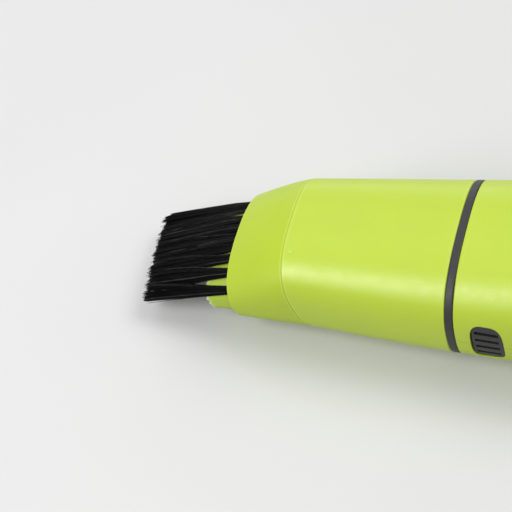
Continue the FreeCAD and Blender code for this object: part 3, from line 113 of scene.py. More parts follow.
class Nodes:
    """Short way to add and join shader nodes."""

    def __init__(self, name):
        self.material = bpy.data.materials.new(name)
        self.material.use_nodes = True
        self.tree = self.material.node_tree
        self.tree.nodes.clear()
        self.out = self.add("ShaderNodeOutputMaterial")
        self.shader = self.add("ShaderNodeBsdfPrincipled")
        self.join(self.shader, "BSDF", self.out, "Surface")
        self.place = self.add("ShaderNodeTexCoord")

    def add(self, kind, **values):
        node = self.tree.nodes.new(kind)
        for key, value in values.items():
            setattr(node, key, value)
        return node

    def join(self, a, a_name, b, b_name):
        self.tree.links.new(a.outputs[a_name], b.inputs[b_name])

    def fill(self, node, **values):
        """Sets inputs of a node, whose names are written with underscores for spaces."""
        for key, value in values.items():
            node.inputs[key.replace("_", " ")].default_value = value

    def noise(self, scale, detail, rough, stretch=None):
        node = self.add("ShaderNodeTexNoise")
        self.fill(node, Scale=scale, Detail=detail, Roughness=rough)
        if stretch is None:
            self.join(self.place, "Object", node, "Vector")
        else:
            mapping = self.add("ShaderNodeMapping")
            self.fill(mapping, Scale=stretch)
            self.join(self.place, "Object", mapping, "Vector")
            self.join(mapping, "Vector", node, "Vector")
        return node

    def ramp(self, source, name, stops):
        node = self.add("ShaderNodeValToRGB")
        self.join(source, name, node, "Fac")
        elements = node.color_ramp.elements
        while len(elements) < len(stops):
            elements.new(0.5)
        for element, (position, colour) in zip(elements, stops):
            element.position = position
            element.color = (*colour, 1.0)
        return node

    def spread(self, source, name, low, high):
        """Stretches a noise to the range from low to high."""
        node = self.add("ShaderNodeMapRange")
        self.fill(node, From_Min=NOISE_LOW, From_Max=NOISE_HIGH, To_Min=low, To_Max=high)
        self.join(source, name, node, "Value")
        return node

    def combine(self, operation, a, a_name, b, b_name):
        node = self.add("ShaderNodeMath", operation=operation)
        self.join(a, a_name, node, 0)
        self.join(b, b_name, node, 1)
        return node

    def bump(self, source, name, strength, distance, before=None):
        node = self.add("ShaderNodeBump")
        self.fill(node, Strength=strength, Distance=distance)
        self.join(source, name, node, "Height")
        if before is not None:
            self.join(before, "Normal", node, "Normal")
        return node

    def soft_edges(self, radius):
        """Normal that rounds sharp edges over a small radius."""
        node = self.add("ShaderNodeBevel", samples=BEVEL_SAMPLES)
        self.fill(node, Radius=radius)
        return node


def shade(colour, factor):
    return tuple(min(1.0, c * factor) for c in colour)


# Noises by scale, detail and roughness.
CLOUDS = (55.0, 3.0, 0.55)
HIGHLIGHT_BREAKUP = (700.0, 3.0, 0.6)
SMEARS = (420.0, 3.0, 0.6)
# Least and largest share of the painted highlight's colour along an edge, where noise breaks it up.
HIGHLIGHT_BREAKUP_SHARES = (0.55, 1.0)
EDGE_RADIUS = 0.00025
GRAIN = 2600.0
GRAIN_DETAIL = (2.0, 0.6)
GRAIN_DEPTH = 0.00002
GRAIN_STRENGTH = 0.35
GLOSS_CHANGE = 0.05
COAT_ROUGHNESS = 0.25


def moulded(name, colour, rough, mottle, grain=GRAIN, depth=GRAIN_DEPTH, coat=0.0, specular=0.5, edge=None):
    """Moulded plastic: faint cloudiness in its colour, uneven gloss and a fine eroded grain.

    With edge, a painted highlight: the colour turns to that one where the piece's "edge" attribute says so,
    broken up by noise.
    """
    m = Nodes(name)
    stops = [(NOISE_LOW, shade(colour, 1 - mottle)), (NOISE_HIGH, shade(colour, 1 + mottle))]
    colours = m.ramp(m.noise(*CLOUDS), "Fac", stops)
    if edge is None:
        m.join(colours, "Color", m.shader, "Base Color")
    else:
        # Painted highlight: the edge colour is laid where the stored edge weights are high.
        near = m.add("ShaderNodeAttribute", attribute_name="edge")
        breakup = m.spread(m.noise(*HIGHLIGHT_BREAKUP), "Fac", *HIGHLIGHT_BREAKUP_SHARES)
        share = m.combine("MULTIPLY", near, "Fac", breakup, "Result")
        mix = m.add("ShaderNodeMix", data_type="RGBA")
        m.join(share, "Value", mix, MIX_SHARE)
        m.join(colours, "Color", mix, MIX_FIRST)
        mix.inputs[MIX_SECOND].default_value = (*edge, 1.0)
        m.join(mix, MIX_RESULT, m.shader, "Base Color")
    gloss = m.spread(m.noise(*SMEARS), "Fac", rough - GLOSS_CHANGE, rough + GLOSS_CHANGE)
    m.join(gloss, "Result", m.shader, "Roughness")
    fine = m.noise(grain, *GRAIN_DETAIL)
    bump = m.bump(fine, "Fac", GRAIN_STRENGTH, depth, m.soft_edges(EDGE_RADIUS))
    m.join(bump, "Normal", m.shader, "Normal")
    m.fill(m.shader, Specular_IOR_Level=specular, Coat_Weight=coat, Coat_Roughness=COAT_ROUGHNESS)
    return m.material


LINES = (900.0, 3.0, 0.6)
# Places on the ramp and factors of the colour.
LINES_DARK = (0.25, 0.86)
LINES_BRIGHT = (0.75, 1.08)
LINES_CHANGE = 0.08
LINES_STRENGTH = 0.25
LINES_DEPTH = 0.00001


def metal(name, colour, rough, brushed):
    """Plated or drawn metal: fine lines along one direction and uneven gloss."""
    m = Nodes(name)
    lines = m.noise(*LINES, stretch=brushed)
    stops = [(place, shade(colour, factor)) for place, factor in (LINES_DARK, LINES_BRIGHT)]
    colours = m.ramp(lines, "Fac", stops)
    m.join(colours, "Color", m.shader, "Base Color")
    gloss = m.spread(lines, "Fac", rough - LINES_CHANGE, rough + LINES_CHANGE)
    m.join(gloss, "Result", m.shader, "Roughness")
    m.join(m.bump(lines, "Fac", LINES_STRENGTH, LINES_DEPTH), "Normal", m.shader, "Normal")
    m.fill(m.shader, Metallic=1.0)
    return m.material


FIBRES = (900.0, 4.0, 0.7)
CLOTH_TONES = [(0.35, (0.62, 0.62, 0.58)), (0.65, (0.84, 0.84, 0.80))]
CLOTH_STRENGTH = 0.7
CLOTH_DEPTH = 0.0001
CLOTH_ROUGHNESS = 0.9
CLOTH_SHEEN = 0.2
# How the noise is stretched into fibres along X and across it.
FIBRES_ALONG = (0.25, 1.0, 1.0)
FIBRES_ACROSS = (1.0, 0.25, 1.0)


def matted_cloth():
    """Non-woven cloth: matted fibres that cross each other."""
    m = Nodes("filter cloth")
    one = m.noise(*FIBRES, stretch=FIBRES_ALONG)
    two = m.noise(*FIBRES, stretch=FIBRES_ACROSS)
    half = m.add("ShaderNodeMath", operation="MULTIPLY")
    m.join(m.combine("ADD", one, "Fac", two, "Fac"), "Value", half, 0)
    half.inputs[1].default_value = 0.5
    m.join(m.ramp(half, "Value", CLOTH_TONES), "Color", m.shader, "Base Color")
    m.join(m.bump(half, "Value", CLOTH_STRENGTH, CLOTH_DEPTH), "Normal", m.shader, "Normal")
    m.fill(m.shader, Roughness=CLOTH_ROUGHNESS, Sheen_Weight=CLOTH_SHEEN)
    return m.material


STREAKS = (1100.0, 2.0, 0.5)
STREAKS_ALONG = (0.1, 1.0, 1.0)
TONE_CHANGE = 0.08
BRISTLE_ROUGHNESS = (0.34, 0.5)
BRISTLE_SPECULAR = 0.08
BRISTLE_TONES = [
    (0.50, (0.0007, 0.0007, 0.0007)),
    (0.72, (0.0035, 0.0035, 0.0035)),
    (0.88, (0.022, 0.022, 0.021)),
    (1.0, (0.075, 0.075, 0.07)),
]


def nylon_filament():
    """Near black nylon: some filaments are greyer than others, and each changes its tone a little."""
    m = Nodes("nylon filament")
    tone = m.add("ShaderNodeAttribute", attribute_name="tone")
    along = m.noise(*STREAKS, stretch=STREAKS_ALONG)
    change = m.spread(along, "Fac", -TONE_CHANGE, TONE_CHANGE)
    tones = m.ramp(m.combine("ADD", tone, "Fac", change, "Result"), "Value", BRISTLE_TONES)
    m.join(tones, "Color", m.shader, "Base Color")
    m.join(m.spread(along, "Fac", *BRISTLE_ROUGHNESS), "Result", m.shader, "Roughness")
    m.fill(m.shader, Specular_IOR_Level=BRISTLE_SPECULAR)
    return m.material


LIME = (0.516, 0.676, 0.024)
# Pale lime painted along the rounded rim, seam and collar edges: a painted highlight.
EDGE_HIGHLIGHT = (0.57, 0.73, 0.07)
# By the CAD's material slot: name, colour, roughness and mottle, then what differs from the usual.
MOULDED = {
    "lime_gloss": ("lime plastic", LIME, 0.38, 0.02, {"specular": 0.75, "edge": EDGE_HIGHLIGHT}),
    # The sleeve's pale edge colour is a painted highlight along its cut end.
    "lime_sleeve": ("lime sleeve plastic", (0.49, 0.65, 0.05), 0.47, 0.05, {"edge": (0.86, 0.90, 0.62)}),
    "black_rubber": ("black rubber", (0.022, 0.022, 0.023), 0.68, 0.15, {"grain": 3400.0, "depth": 0.00005}),
    "black_plastic": ("black plastic", (0.020, 0.020, 0.021), 0.48, 0.1, {"grain": 3000.0, "depth": 0.00004}),
    "grey_plastic": ("grey plastic", (0.20, 0.21, 0.22), 0.5, 0.05, {}),
    "white_plastic": ("white plastic", (0.74, 0.74, 0.70), 0.45, 0.03, {}),
    "magnet": ("ferrite", (0.05, 0.05, 0.055), 0.6, 0.2, {"grain": 1800.0, "depth": 0.00006}),
    "cell_jacket": ("cell jacket", (0.06, 0.11, 0.26), 0.3, 0.04, {"coat": 0.4}),
    "red_lead": ("red insulation", (0.50, 0.025, 0.018), 0.42, 0.05, {}),
    "black_lead": ("black insulation", (0.018, 0.018, 0.018), 0.45, 0.1, {}),
}
# By slot: name, colour, roughness and how the noise is stretched into lines.
METALS = {
    "steel": ("zinc plated steel", (0.60, 0.60, 0.59), 0.34, (0.15, 1.0, 1.0)),
    "nickel": ("nickel", (0.66, 0.63, 0.58), 0.24, (1.0, 0.2, 1.0)),
    "brass": ("tinned brass", (0.74, 0.62, 0.38), 0.3, (0.2, 1.0, 1.0)),
    "winding": ("lacquered copper", (0.48, 0.17, 0.06), 0.38, (6.0, 0.3, 0.3)),
}

materials = {slot: moulded(*values, **extra) for slot, (*values, extra) in MOULDED.items()}
# The hood's lime is a 6 percent darker copy of the lime plastic: painted shade for its top, which slopes down
# towards the mouth, away from the light. Its pale edges are painted highlights.
shaded_hood_plastic = moulded("lime hood plastic with painted shade", shade(LIME, 0.94), 0.42, 0.02, specular=0.55, edge=EDGE_HIGHLIGHT)
# The marks' lime is paler than the barrel's: a painted highlight on the raised dot and dash.
lit_mark_plastic = moulded("lime plastic with painted highlight", (0.55, 0.72, 0.06), 0.36, 0.02, specular=0.75)
for slot, values in METALS.items():
    materials[slot] = metal(*values)
materials["white_cloth"] = matted_cloth()
materials["black_bristle"] = nylon_filament()

for part in frame["record"]["subparts"]:
    obj = nodes[part["node"]]
    obj.data.materials.clear()
    obj.data.materials.append(materials[part["material_slot"]])


# ---- outer skin, the same law as the CAD's skin ---------------------------------------------------------
# At the mouth, and what it gains from there to the seam: width, height, roundness, belly and lean.
MOUTH = (32.4, 17.7, 2.4, 0.0, -0.18)
MOUTH_GAIN = (2.6, 8.3, 0.4, -0.25, -0.04)
CROWN = 0.45
# At the seam, the collar, the grip's widest place and the tail's dome.
STATIONS = (16.7, 54.0, 99.025, 147.05)
WIDTHS = (35.0, 41.4, 45.0, 42.6)
HEIGHTS = (26.0, 29.3, 33.0, 31.4)
ROUNDS = (2.8, 2.55, 2.6, 2.5)
BELLIES = (-0.25, -1.1, -1.3, -0.9)
SEAM_X = STATIONS[0]
COLLAR_X = STATIONS[1]
SEAM_LEAN = -0.22
# The lean has gone this far ahead of the collar.
UPRIGHT = 10.0
AROUND = 288
FINER = 8


def smooth_value(x, places, values):
    """Value at x on the smooth curve through values at places."""
    if x >= places[-1]:
        return values[-1]
    k = 0
    while x > places[k + 1]:
        k += 1

    def slope(i):
        low = max(i - 1, 0)
        high = min(i + 1, len(places) - 1)
        return (values[high] - values[low]) / (places[high] - places[low])

    span = places[k + 1] - places[k]
    t = (x - places[k]) / span
    rise = (2 * t ** 3 - 3 * t ** 2 + 1) * values[k] + (3 * t ** 2 - 2 * t ** 3) * values[k + 1]
    return rise + (t ** 3 - 2 * t ** 2 + t) * span * slope(k) + (t ** 3 - t ** 2) * span * slope(k + 1)


def skin_law(x):
    """Width, height, roundness, belly and lean of the skin at x."""
    if x < SEAM_X:
        t = x / SEAM_X
        crown = CROWN * math.sin(math.pi * t)
        width, height, *others = [start + gain * t for start, gain in zip(MOUTH, MOUTH_GAIN)]
        return (width + crown, height + crown, *others)
    lean = SEAM_LEAN * max(0.0, 1 - (x - SEAM_X) / (COLLAR_X - SEAM_X - UPRIGHT))
    values = [smooth_value(x, STATIONS, row) for row in (WIDTHS, HEIGHTS, ROUNDS, BELLIES)]
    return (*values, lean)


def oval(x, half_w, half_h, roundness, centre, lean, low_roundness=None, count=AROUND):
    """Points of a rounded section, evenly spaced along its outline, from the +Y side over the top."""
    fine = []
    steps = FINER * count
    for i in range(steps):
        angle = 2 * math.pi * i / steps
        c = math.cos(angle)
        s = math.sin(angle)
        power = 2 / roundness if low_roundness is None or s >= 0 else 2 / low_roundness
        y = math.copysign(abs(c) ** power, c) * half_w
        z = math.copysign(abs(s) ** power, s) * half_h
        fine.append((y, z))
    lengths = [0.0]
    for i in range(steps):
        a = fine[i]
        b = fine[(i + 1) % steps]
        lengths.append(lengths[-1] + math.hypot(b[0] - a[0], b[1] - a[1]))
    points = []
    k = 0
    for i in range(count):
        want = lengths[-1] * i / count
        while lengths[k + 1] < want:
            k += 1
        share = (want - lengths[k]) / (lengths[k + 1] - lengths[k])
        a = fine[k % steps]
        b = fine[(k + 1) % steps]
        y = a[0] + (b[0] - a[0]) * share
        z = a[1] + (b[1] - a[1]) * share
        points.append(put(x + lean * z, y, centre + z))
    return points


def ring(x, inset, place=None):
    """The skin's section at x, drawn in by inset and stood at place."""
    width, height, roundness, belly, lean = skin_law(x)
    stand = x if place is None else place
    return oval(stand, width / 2 - inset, height / 2 - inset, roundness, belly + height / 2, lean)


def band(a, b, count):
    """Faces between the rings of count vertices that start at a and at b."""
    faces = []
    for j in range(count):
        k = (j + 1) % count
        faces.append((a + j, a + k, b + k, b + j))
    return faces


def swept(name, rings):
    """Mesh through rings of the same count of points, the last one joined to the first."""
    count = len(rings[0])
    vertices = [point for one in rings for point in one]
    faces = []
    for i in range(len(rings)):
        faces += band(i * count, (i + 1) % len(rings) * count, count)
    return outward(add_mesh(name, vertices, faces))


def outward(obj):
    """Turns a closed mesh's faces outwards."""
    mesh = obj.data
    volume = 0.0
    for face in mesh.polygons:
        corners = [mesh.vertices[v].co for v in face.vertices]
        for i in range(1, len(corners) - 1):
            volume += corners[0].dot(corners[i].cross(corners[i + 1]))
    if volume < 0:
        mesh.flip_normals()
    return obj


def store(obj, name, values):
    """Stores a number for each of the first vertices, which the material reads. The others keep 0."""
    stored = obj.data.attributes.new(name, "FLOAT", "POINT").data
    for i, value in enumerate(values):
        stored[i].value = value


def finish_piece(obj, body, slot, *replaced, material=None):
    obj.data.materials.append(material or materials[slot])
    if replaced:
        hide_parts(*replaced)
    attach(obj, body)


# Steps round a rounded end, and how sharply the painted highlight line fades over them.
END_STEPS = 8
END_POWER = 4
# Past the end: where the painted highlight line has nearly gone and how much is left, and where the plain skin
# starts.
FADE_PAST = 0.12
FADE_LEFT = 0.4
PLAIN_PAST = 0.3


def rounded_run(x0, x1, end0, end1, step):
    """(x, inset, weight of the painted edge highlight) along the skin between two rounded ends, each given by
    its length and depth.
    """
    run = []
    inner0 = x0 + end0[0]
    inner1 = x1 - end1[0]
    corner = [math.pi / 2 * i / END_STEPS for i in range(END_STEPS + 1)]
    for angle in corner:
        c = math.cos(angle)
        s = math.sin(angle)
        run.append((inner0 - end0[0] * c, end0[1] * (1 - s), s ** END_POWER))
    run.append((inner0 + FADE_PAST, 0.0, FADE_LEFT))
    plain = inner1 - inner0 - 2 * PLAIN_PAST
    count = max(2, int(plain / step))
    for i in range(count + 1):
        run.append((inner0 + PLAIN_PAST + plain * i / count, 0.0, 0.0))
    run.append((inner1 - FADE_PAST, 0.0, FADE_LEFT))
    for angle in corner:
        c = math.cos(angle)
        s = math.sin(angle)
        run.append((inner1 + end1[0] * s, end1[1] * (1 - c), c ** END_POWER))
    return run


def edge_weights(run):
    return [weight for x, inset, weight in run for _ in range(AROUND)]


# ---- nozzle hood ----------------------------------------------------------------------------------------
# Length and depth of the rounded ends.
RIM_END = (0.3, 0.3)
SEAM_END = (0.42, 0.07)
COLLAR_END = (0.35, 0.35)
# Each lip stops this far from the seam.
SEAM_GAP = 0.02
HOOD_STEP = 0.6
RIM_WALL = 1.0
RIM_BEVEL = 0.15
SLEEVE_INSIDE = 11.0
THICKENING = 0.45
THICKENING_POWER = 1.3
FRONT_WALL = RIM_WALL + THICKENING
SPIGOT_INSET = 1.95
SPIGOT_WALL = 1.5
SEAL_INSET = 2.75
SPIGOT_BEVEL = 0.3
# Outside of the spigot, by distance behind the seam and inset: round the seal's groove to the bevelled end.
SPIGOT_RUN = (
    (0.3, SPIGOT_INSET),
    (2.2, SPIGOT_INSET),
    (2.2, SEAL_INSET),
    (3.8, SEAL_INSET),
    (3.8, SPIGOT_INSET),
    (4.7, SPIGOT_INSET),
    (5.0, SPIGOT_INSET + SPIGOT_BEVEL),
)
# Rings of the inside, from the back: the throat's distances behind the seam, then shares of the way from the
# sleeve to the seam, then shares of the way from the rim to the sleeve.
THROAT_PLACES = (5.0, 2.5, 0.0)
FUNNEL_SHARES = (0.75, 0.5, 0.25)
FRONT_SHARES = (1.0, 0.8, 0.6, 0.4, 0.2, 0.05)


def make_hood():
    run = rounded_run(0.0, SEAM_X - SEAM_GAP, RIM_END, SEAM_END, HOOD_STEP)
    rings = [ring(x, inset) for x, inset, weight in run]
    rings.append(ring(SEAM_X, SPIGOT_INSET))
    for place, inset in SPIGOT_RUN:
        rings.append(ring(SEAM_X, inset, SEAM_X + place))
    throat = SPIGOT_INSET + SPIGOT_WALL
    for place in THROAT_PLACES:
        rings.append(ring(SEAM_X, throat, SEAM_X + place))
    for t in FUNNEL_SHARES:
        rings.append(ring(SLEEVE_INSIDE + (SEAM_X - SLEEVE_INSIDE) * t, FRONT_WALL + (throat - FRONT_WALL) * t))
    for t in FRONT_SHARES:
        rings.append(ring(SLEEVE_INSIDE * t, RIM_WALL + THICKENING * t ** THICKENING_POWER))
    rings.append(ring(0.0, RIM_WALL - RIM_BEVEL))
    hood = swept("hood", rings)
    # Weights of the painted highlight along the rim and seam edges.
    store(hood, "edge", edge_weights(run))
    finish_piece(hood, "nozzle", "lime_gloss", "nozzle_hood", material=shaded_hood_plastic)


make_hood()


# ---- dust barrel ----------------------------------------------------------------------------------------
BARREL_STEP = 0.75
BARREL_WALL = 1.7
INNER_BEVEL = 0.2
INSIDE_STEPS = 24
# How much shorter the plain inside is than the barrel.
INSIDE_SHORTER = 0.5


def make_barrel():
    run = rounded_run(SEAM_X + SEAM_GAP, COLLAR_X, SEAM_END, COLLAR_END, BARREL_STEP)
    rings = [ring(x, inset) for x, inset, weight in run]
    rings.append(ring(COLLAR_X, BARREL_WALL - INNER_BEVEL))
    inside = COLLAR_X - SEAM_X - INSIDE_SHORTER
    for i in range(INSIDE_STEPS + 1):
        rings.append(ring(COLLAR_X - INNER_BEVEL - inside * i / INSIDE_STEPS, BARREL_WALL))
    rings.append(ring(SEAM_X + SEAM_GAP, BARREL_WALL - INNER_BEVEL))
    barrel = swept("barrel", rings)
    # Weights of the painted highlight along the seam and collar edges.
    store(barrel, "edge", edge_weights(run))
    finish_piece(barrel, "barrel", "lime_gloss", "dust_barrel")


make_barrel()


# ---- marks that show how the nozzle lines up ------------------------------------------------------------
# Name, distance behind the seam, place across and length.
MARKS = (("mark_dot", 1.5, -7.05, 0.0), ("mark_dash", 1.75, -9.05, 0.8))
MARK_R = 0.42
MARK_PROUD = 0.12
MARK_ROOT = 0.15
MARK_SIDES = 40
# Step along the skin to find its direction.
NUDGE = 0.1
# A mark's rings: share of its radius and height over the skin.
MARK_LEVELS = [(1.0, -MARK_ROOT), (1.0, 0.0)]
for degrees in range(15, 90, 15):
    MARK_LEVELS.append((math.cos(math.radians(degrees)), MARK_PROUD * math.sin(math.radians(degrees))))


def skin_point(x, y):
    """Point of the upper skin at station x and side y."""
    width, height, roundness, belly, lean = skin_law(x)
    rise = height / 2 * (1 - abs(2 * y / width) ** roundness) ** (1 / roundness)
    return put(x + lean * rise, y, belly + height / 2 + rise)


def make_mark(name, behind, y, length):
    """Low rounded bump, long along X when it has a length."""
    station = SEAM_X + behind
    vertices = []
    faces = []
    for i, (scale, height) in enumerate(MARK_LEVELS):
        for j in range(MARK_SIDES):
            angle = 2 * math.pi * j / MARK_SIDES
            along = MARK_R * scale * math.cos(angle) + math.copysign(length / 2, math.cos(angle))
            across = MARK_R * scale * math.sin(angle)
            spot = skin_point(station + along, y + across)
            ahead = skin_point(station + along + NUDGE, y + across) - spot
            beside = skin_point(station + along, y + across + NUDGE) - spot
            vertices.append(spot + ahead.cross(beside).normalized() * height * MM)
        if i:
            faces += band((i - 1) * MARK_SIDES, i * MARK_SIDES, MARK_SIDES)
    top = (len(MARK_LEVELS) - 1) * MARK_SIDES
    faces.append(tuple(top + j for j in range(MARK_SIDES)))
    faces.append(tuple(reversed(range(MARK_SIDES))))
    finish_piece(outward(add_mesh(name, vertices, faces)), "barrel", "lime_gloss", material=lit_mark_plastic)


for mark in MARKS:
    make_mark(*mark)


# ---- end of the inner sleeve ----------------------------------------------------------------------------
SLEEVE_REACH = 6.8
SLEEVE_WIDTH = 27.4
SLEEVE_WIDENING = 1.6
SLEEVE_TOP = 12.9
SLEEVE_RISE = math.tan(math.radians(21.0))
SLEEVE_BOTTOM = 1.35
SLEEVE_ROUND = 2.4
SLEEVE_LOW_ROUND = 3.4
SLEEVE_WALL = 1.0
# The ragged end: how far it reaches ahead of the rim, how much it leans back towards the bottom, how far it
# lies over the CAD's sleeve and how far behind the rim it ends.
LIP_REACH = 8.0
LIP_SLANT = math.tan(math.radians(8.0))
LIP_COVER = 0.03
LIP_HIDDEN = 2.0
# Scale and size of the edge's waves. The whole is larger past the near side's place across.
WAVERS = ((0.8, 0.6), (2.9, 0.5))
TEAR = 0.45
TEAR_NEAR = 0.95
NEAR_SIDE = -9
# Share of painted highlight along the edge: on average, by how much that changes, and over what scale and place
# of the noise.
END_HIGHLIGHT = 0.8
END_HIGHLIGHT_CHANGE = 1.3
END_HIGHLIGHT_SCALE = 2.1
END_HIGHLIGHT_PLACE = Vector((5, 1, 3))
# How far back from the edge the painted highlight reaches, and how much it is raised.
HIGHLIGHT_REACH = 0.8
HIGHLIGHT_GAIN = 1.6
# Rings by inset and distance behind the edge, None for the hidden end: along the outside, then the inside.
LIP_RINGS = [(-LIP_COVER, distance) for distance in (None, 5.0, 3.0, 1.6, 0.9, 0.6, 0.35, 0.15, 0.0)]
LIP_RINGS += [(SLEEVE_WALL, distance) for distance in (0.0, 0.6, 2.5, 5.0, None)]


def sleeve_size(x):
    """Half width, top and bottom of the sleeve at x."""
    ahead = x + SLEEVE_REACH
    half_w = (SLEEVE_WIDTH + SLEEVE_WIDENING * (ahead / (SLEEVE_INSIDE + SLEEVE_REACH))) / 2
    return half_w, SLEEVE_TOP + ahead * SLEEVE_RISE, SLEEVE_BOTTOM


def sleeve_outline(x, inset):
    half_w, top, bottom = sleeve_size(x)
    half_h = (top - bottom) / 2 - inset
    return oval(x, half_w - inset, half_h, SLEEVE_ROUND, (top + bottom) / 2, 0.0, SLEEVE_LOW_ROUND, 2 * AROUND)


def torn_edge():
    """For each point round the sleeve: how far back its end lies there, and its share of painted highlight."""
    edge = []
    for point in sleeve_outline(-LIP_REACH, 0.0):
        spot = point / MM
        below = SLEEVE_TOP - (spot.z - SHIFT.z / MM)
        waver = sum(noise.noise(spot * scale) * size for scale, size in WAVERS)
        tear = TEAR_NEAR if spot.y < NEAR_SIDE else TEAR
        # Share of painted highlight at this point of the edge, varied by noise.
        highlight = END_HIGHLIGHT + END_HIGHLIGHT_CHANGE * noise.noise(spot * END_HIGHLIGHT_SCALE + END_HIGHLIGHT_PLACE)
        edge.append((below * LIP_SLANT + waver * tear, min(1.0, max(0.0, highlight))))
    return edge


def make_sleeve_end():
    """Front part of the sleeve's skin, cut by hand: its edge wavers and carries a painted highlight, broken up
    by noise.
    """
    edge = torn_edge()
    ends = {}
    for inset in (-LIP_COVER, SLEEVE_WALL):
        ends[inset] = (sleeve_outline(LIP_HIDDEN, inset), sleeve_outline(-LIP_REACH, inset))
    rings = []
    weights = []
    for inset, distance in LIP_RINGS:
        rear, front = ends[inset]
        if distance is None:
            rings.append(rear)
            weights += [0.0] * len(rear)
            continue
        pale = min(1.0, HIGHLIGHT_GAIN * max(0.0, 1 - distance / HIGHLIGHT_REACH))
        loop = []
        for j, (back, highlight) in enumerate(edge):
            loop.append(rear[j].lerp(front[j], 1 - (back + distance) / (LIP_REACH + LIP_HIDDEN)))
            # Weight of the painted highlight at this ring.
            weights.append(highlight * pale)
        rings.append(loop)
    piece = swept("sleeve_end", rings)
    store(piece, "edge", weights)
    finish_piece(piece, "nozzle", "lime_sleeve")


make_sleeve_end()


# ---- bristles -------------------------------------------------------------------------------------------
# Each tuft's place across the sleeve, then its half width at the rail and at the sleeve's end.
TUFTS = (
    (-0.91, 0.55, 1.22),
    (-0.67, 0.42, 1.50),
    (-0.42, 0.55, 1.32),
    (-0.21, 0.45, 1.25),
    (0.0, 0.62, 1.42),
    (0.21, 0.60, 1.32),
    (0.42, 0.42, 1.36),
    (0.67, 0.46, 1.40),
    (0.91, 0.60, 1.35),
)
OUTER_TUFT = 0.9
TUFT_FILAMENTS = 190
SEED = 7
# Clumps in a tuft, and by how much at most each one shifts across and up and changes its length.
CLUMPS = 7
CLUMP_CHANGES = (0.25, 0.3, 0.4)
# By how much at most a filament is drawn to its clump's middle.
CLUMP_PULL = 0.45
# Spread of the filaments' own changes of length.
LENGTH_SPREAD = 0.4
# Share of a filament's tone that is its own, and share that its clump has in common.
OWN_TONE = 0.72
CLUMP_TONE = 0.35
RAIL_X = 6.0
TUFT_REACH = 31.9
TIP_SKEW = 0.9
TIP_SAG = 1.6
# Height over the sleeve of a tuft's lowest filaments and what its highest have on top: rail, lip and tips.
RAIL_RISE = (0.12, 0.6)
LIP_RISE = (0.15, 0.9)
TIP_RISE = (0.1, 1.15)
# Half width at the tips of the middle tuft, and by how much the others spread less outwards and more inwards.
FAN = 2.1
FAN_OUTWARDS = 1.15
FAN_INWARDS = 0.7
# How a tuft swells between the sleeve's end and the tips, and how early.
BULGE = 0.6
BULGE_START = 0.1
SPREAD_POWER = 0.6
# Spread of the filaments' waves across and up, and how many half waves each has.
WAVE = 0.13
WAVE_UP = 0.09
HALF_WAVES = 1.3
FILAMENT_STEPS = 12
FILAMENT_SIDES = 4
FILAMENT_RADII = (0.06, 0.085)
FILAMENT_TAPER = 0.45
TAPER_POWER = 3


def sleeve_top(x, share):
    """Point on the sleeve's upper side, the outward direction there and the direction across."""
    half_w, top, bottom = sleeve_size(x)
    half_h = (top - bottom) / 2
    flat = abs(share)
    rise = (1 - flat ** SLEEVE_ROUND) ** (1 / SLEEVE_ROUND)
    slope = half_h / half_w * flat ** (SLEEVE_ROUND - 1) * rise ** (1 - SLEEVE_ROUND)
    tilt = math.copysign(math.atan(slope), share)
    point = Vector((x, share * half_w, (top + bottom) / 2 + half_h * rise))
    return point, Vector((0, math.sin(tilt), math.cos(tilt))), Vector((0, math.cos(tilt), -math.sin(tilt)))


def fan(share, across):
    """Half width that a tuft spreads to at its tips: more towards the middle of the brush than outwards."""
    if share * across > 0:
        return FAN - FAN_OUTWARDS * abs(share)
    return FAN + FAN_INWARDS * abs(share)


def filament_line(rng, tuft, across, up, shift, longer):
    """Points of one filament: across and up are its place in the tuft, from -1 to 1 and 0 to 1.

    shift moves its tip across and up, and longer is its change of length.
    """
    share, root_half, lip_half = tuft
    root, out0, side0 = sleeve_top(RAIL_X, share)
    lip, out1, side1 = sleeve_top(-LIP_REACH, share)
    tip_x = RAIL_X - TUFT_REACH - TIP_SKEW * share + longer
    total = (RAIL_X - tip_x) / (RAIL_X + LIP_REACH)
    start = root + side0 * across * root_half + out0 * (RAIL_RISE[0] + RAIL_RISE[1] * up)
    over = lip + side1 * across * lip_half + out1 * (LIP_RISE[0] + LIP_RISE[1] * up)
    wide = across * fan(share, across) + shift[0]
    end = root + (lip - root) * total + side1 * wide + out1 * (TIP_RISE[0] + TIP_RISE[1] * up + shift[1])
    end.z -= TIP_SAG
    wave = rng.gauss(0, WAVE)
    wave_up = rng.gauss(0, WAVE_UP)
    phase = rng.uniform(0.0, math.pi)
    # Share of the length at which the filament leaves the sleeve.
    knee = (RAIL_X + LIP_REACH) / (RAIL_X - tip_x)
    bulges = across * share <= 0 or abs(share) < OUTER_TUFT
    points = []
    for i in range(FILAMENT_STEPS + 1):
        t = i / FILAMENT_STEPS
        if t < knee:
            base = start.lerp(over, t / knee)
        else:
            u = (t - knee) / (1 - knee)
            straight = over + (over - start) * ((1 - knee) / knee) * u
            base = straight.lerp(end, u ** SPREAD_POWER)
            if bulges:
                base = base + side1 * across * BULGE * min(1.0, u / BULGE_START) * (1 - u)
        sway = math.sin(math.pi * HALF_WAVES * t + phase) - math.sin(phase)
        points.append(base + side1 * wave * sway + out1 * wave_up * sway * t)
    return points


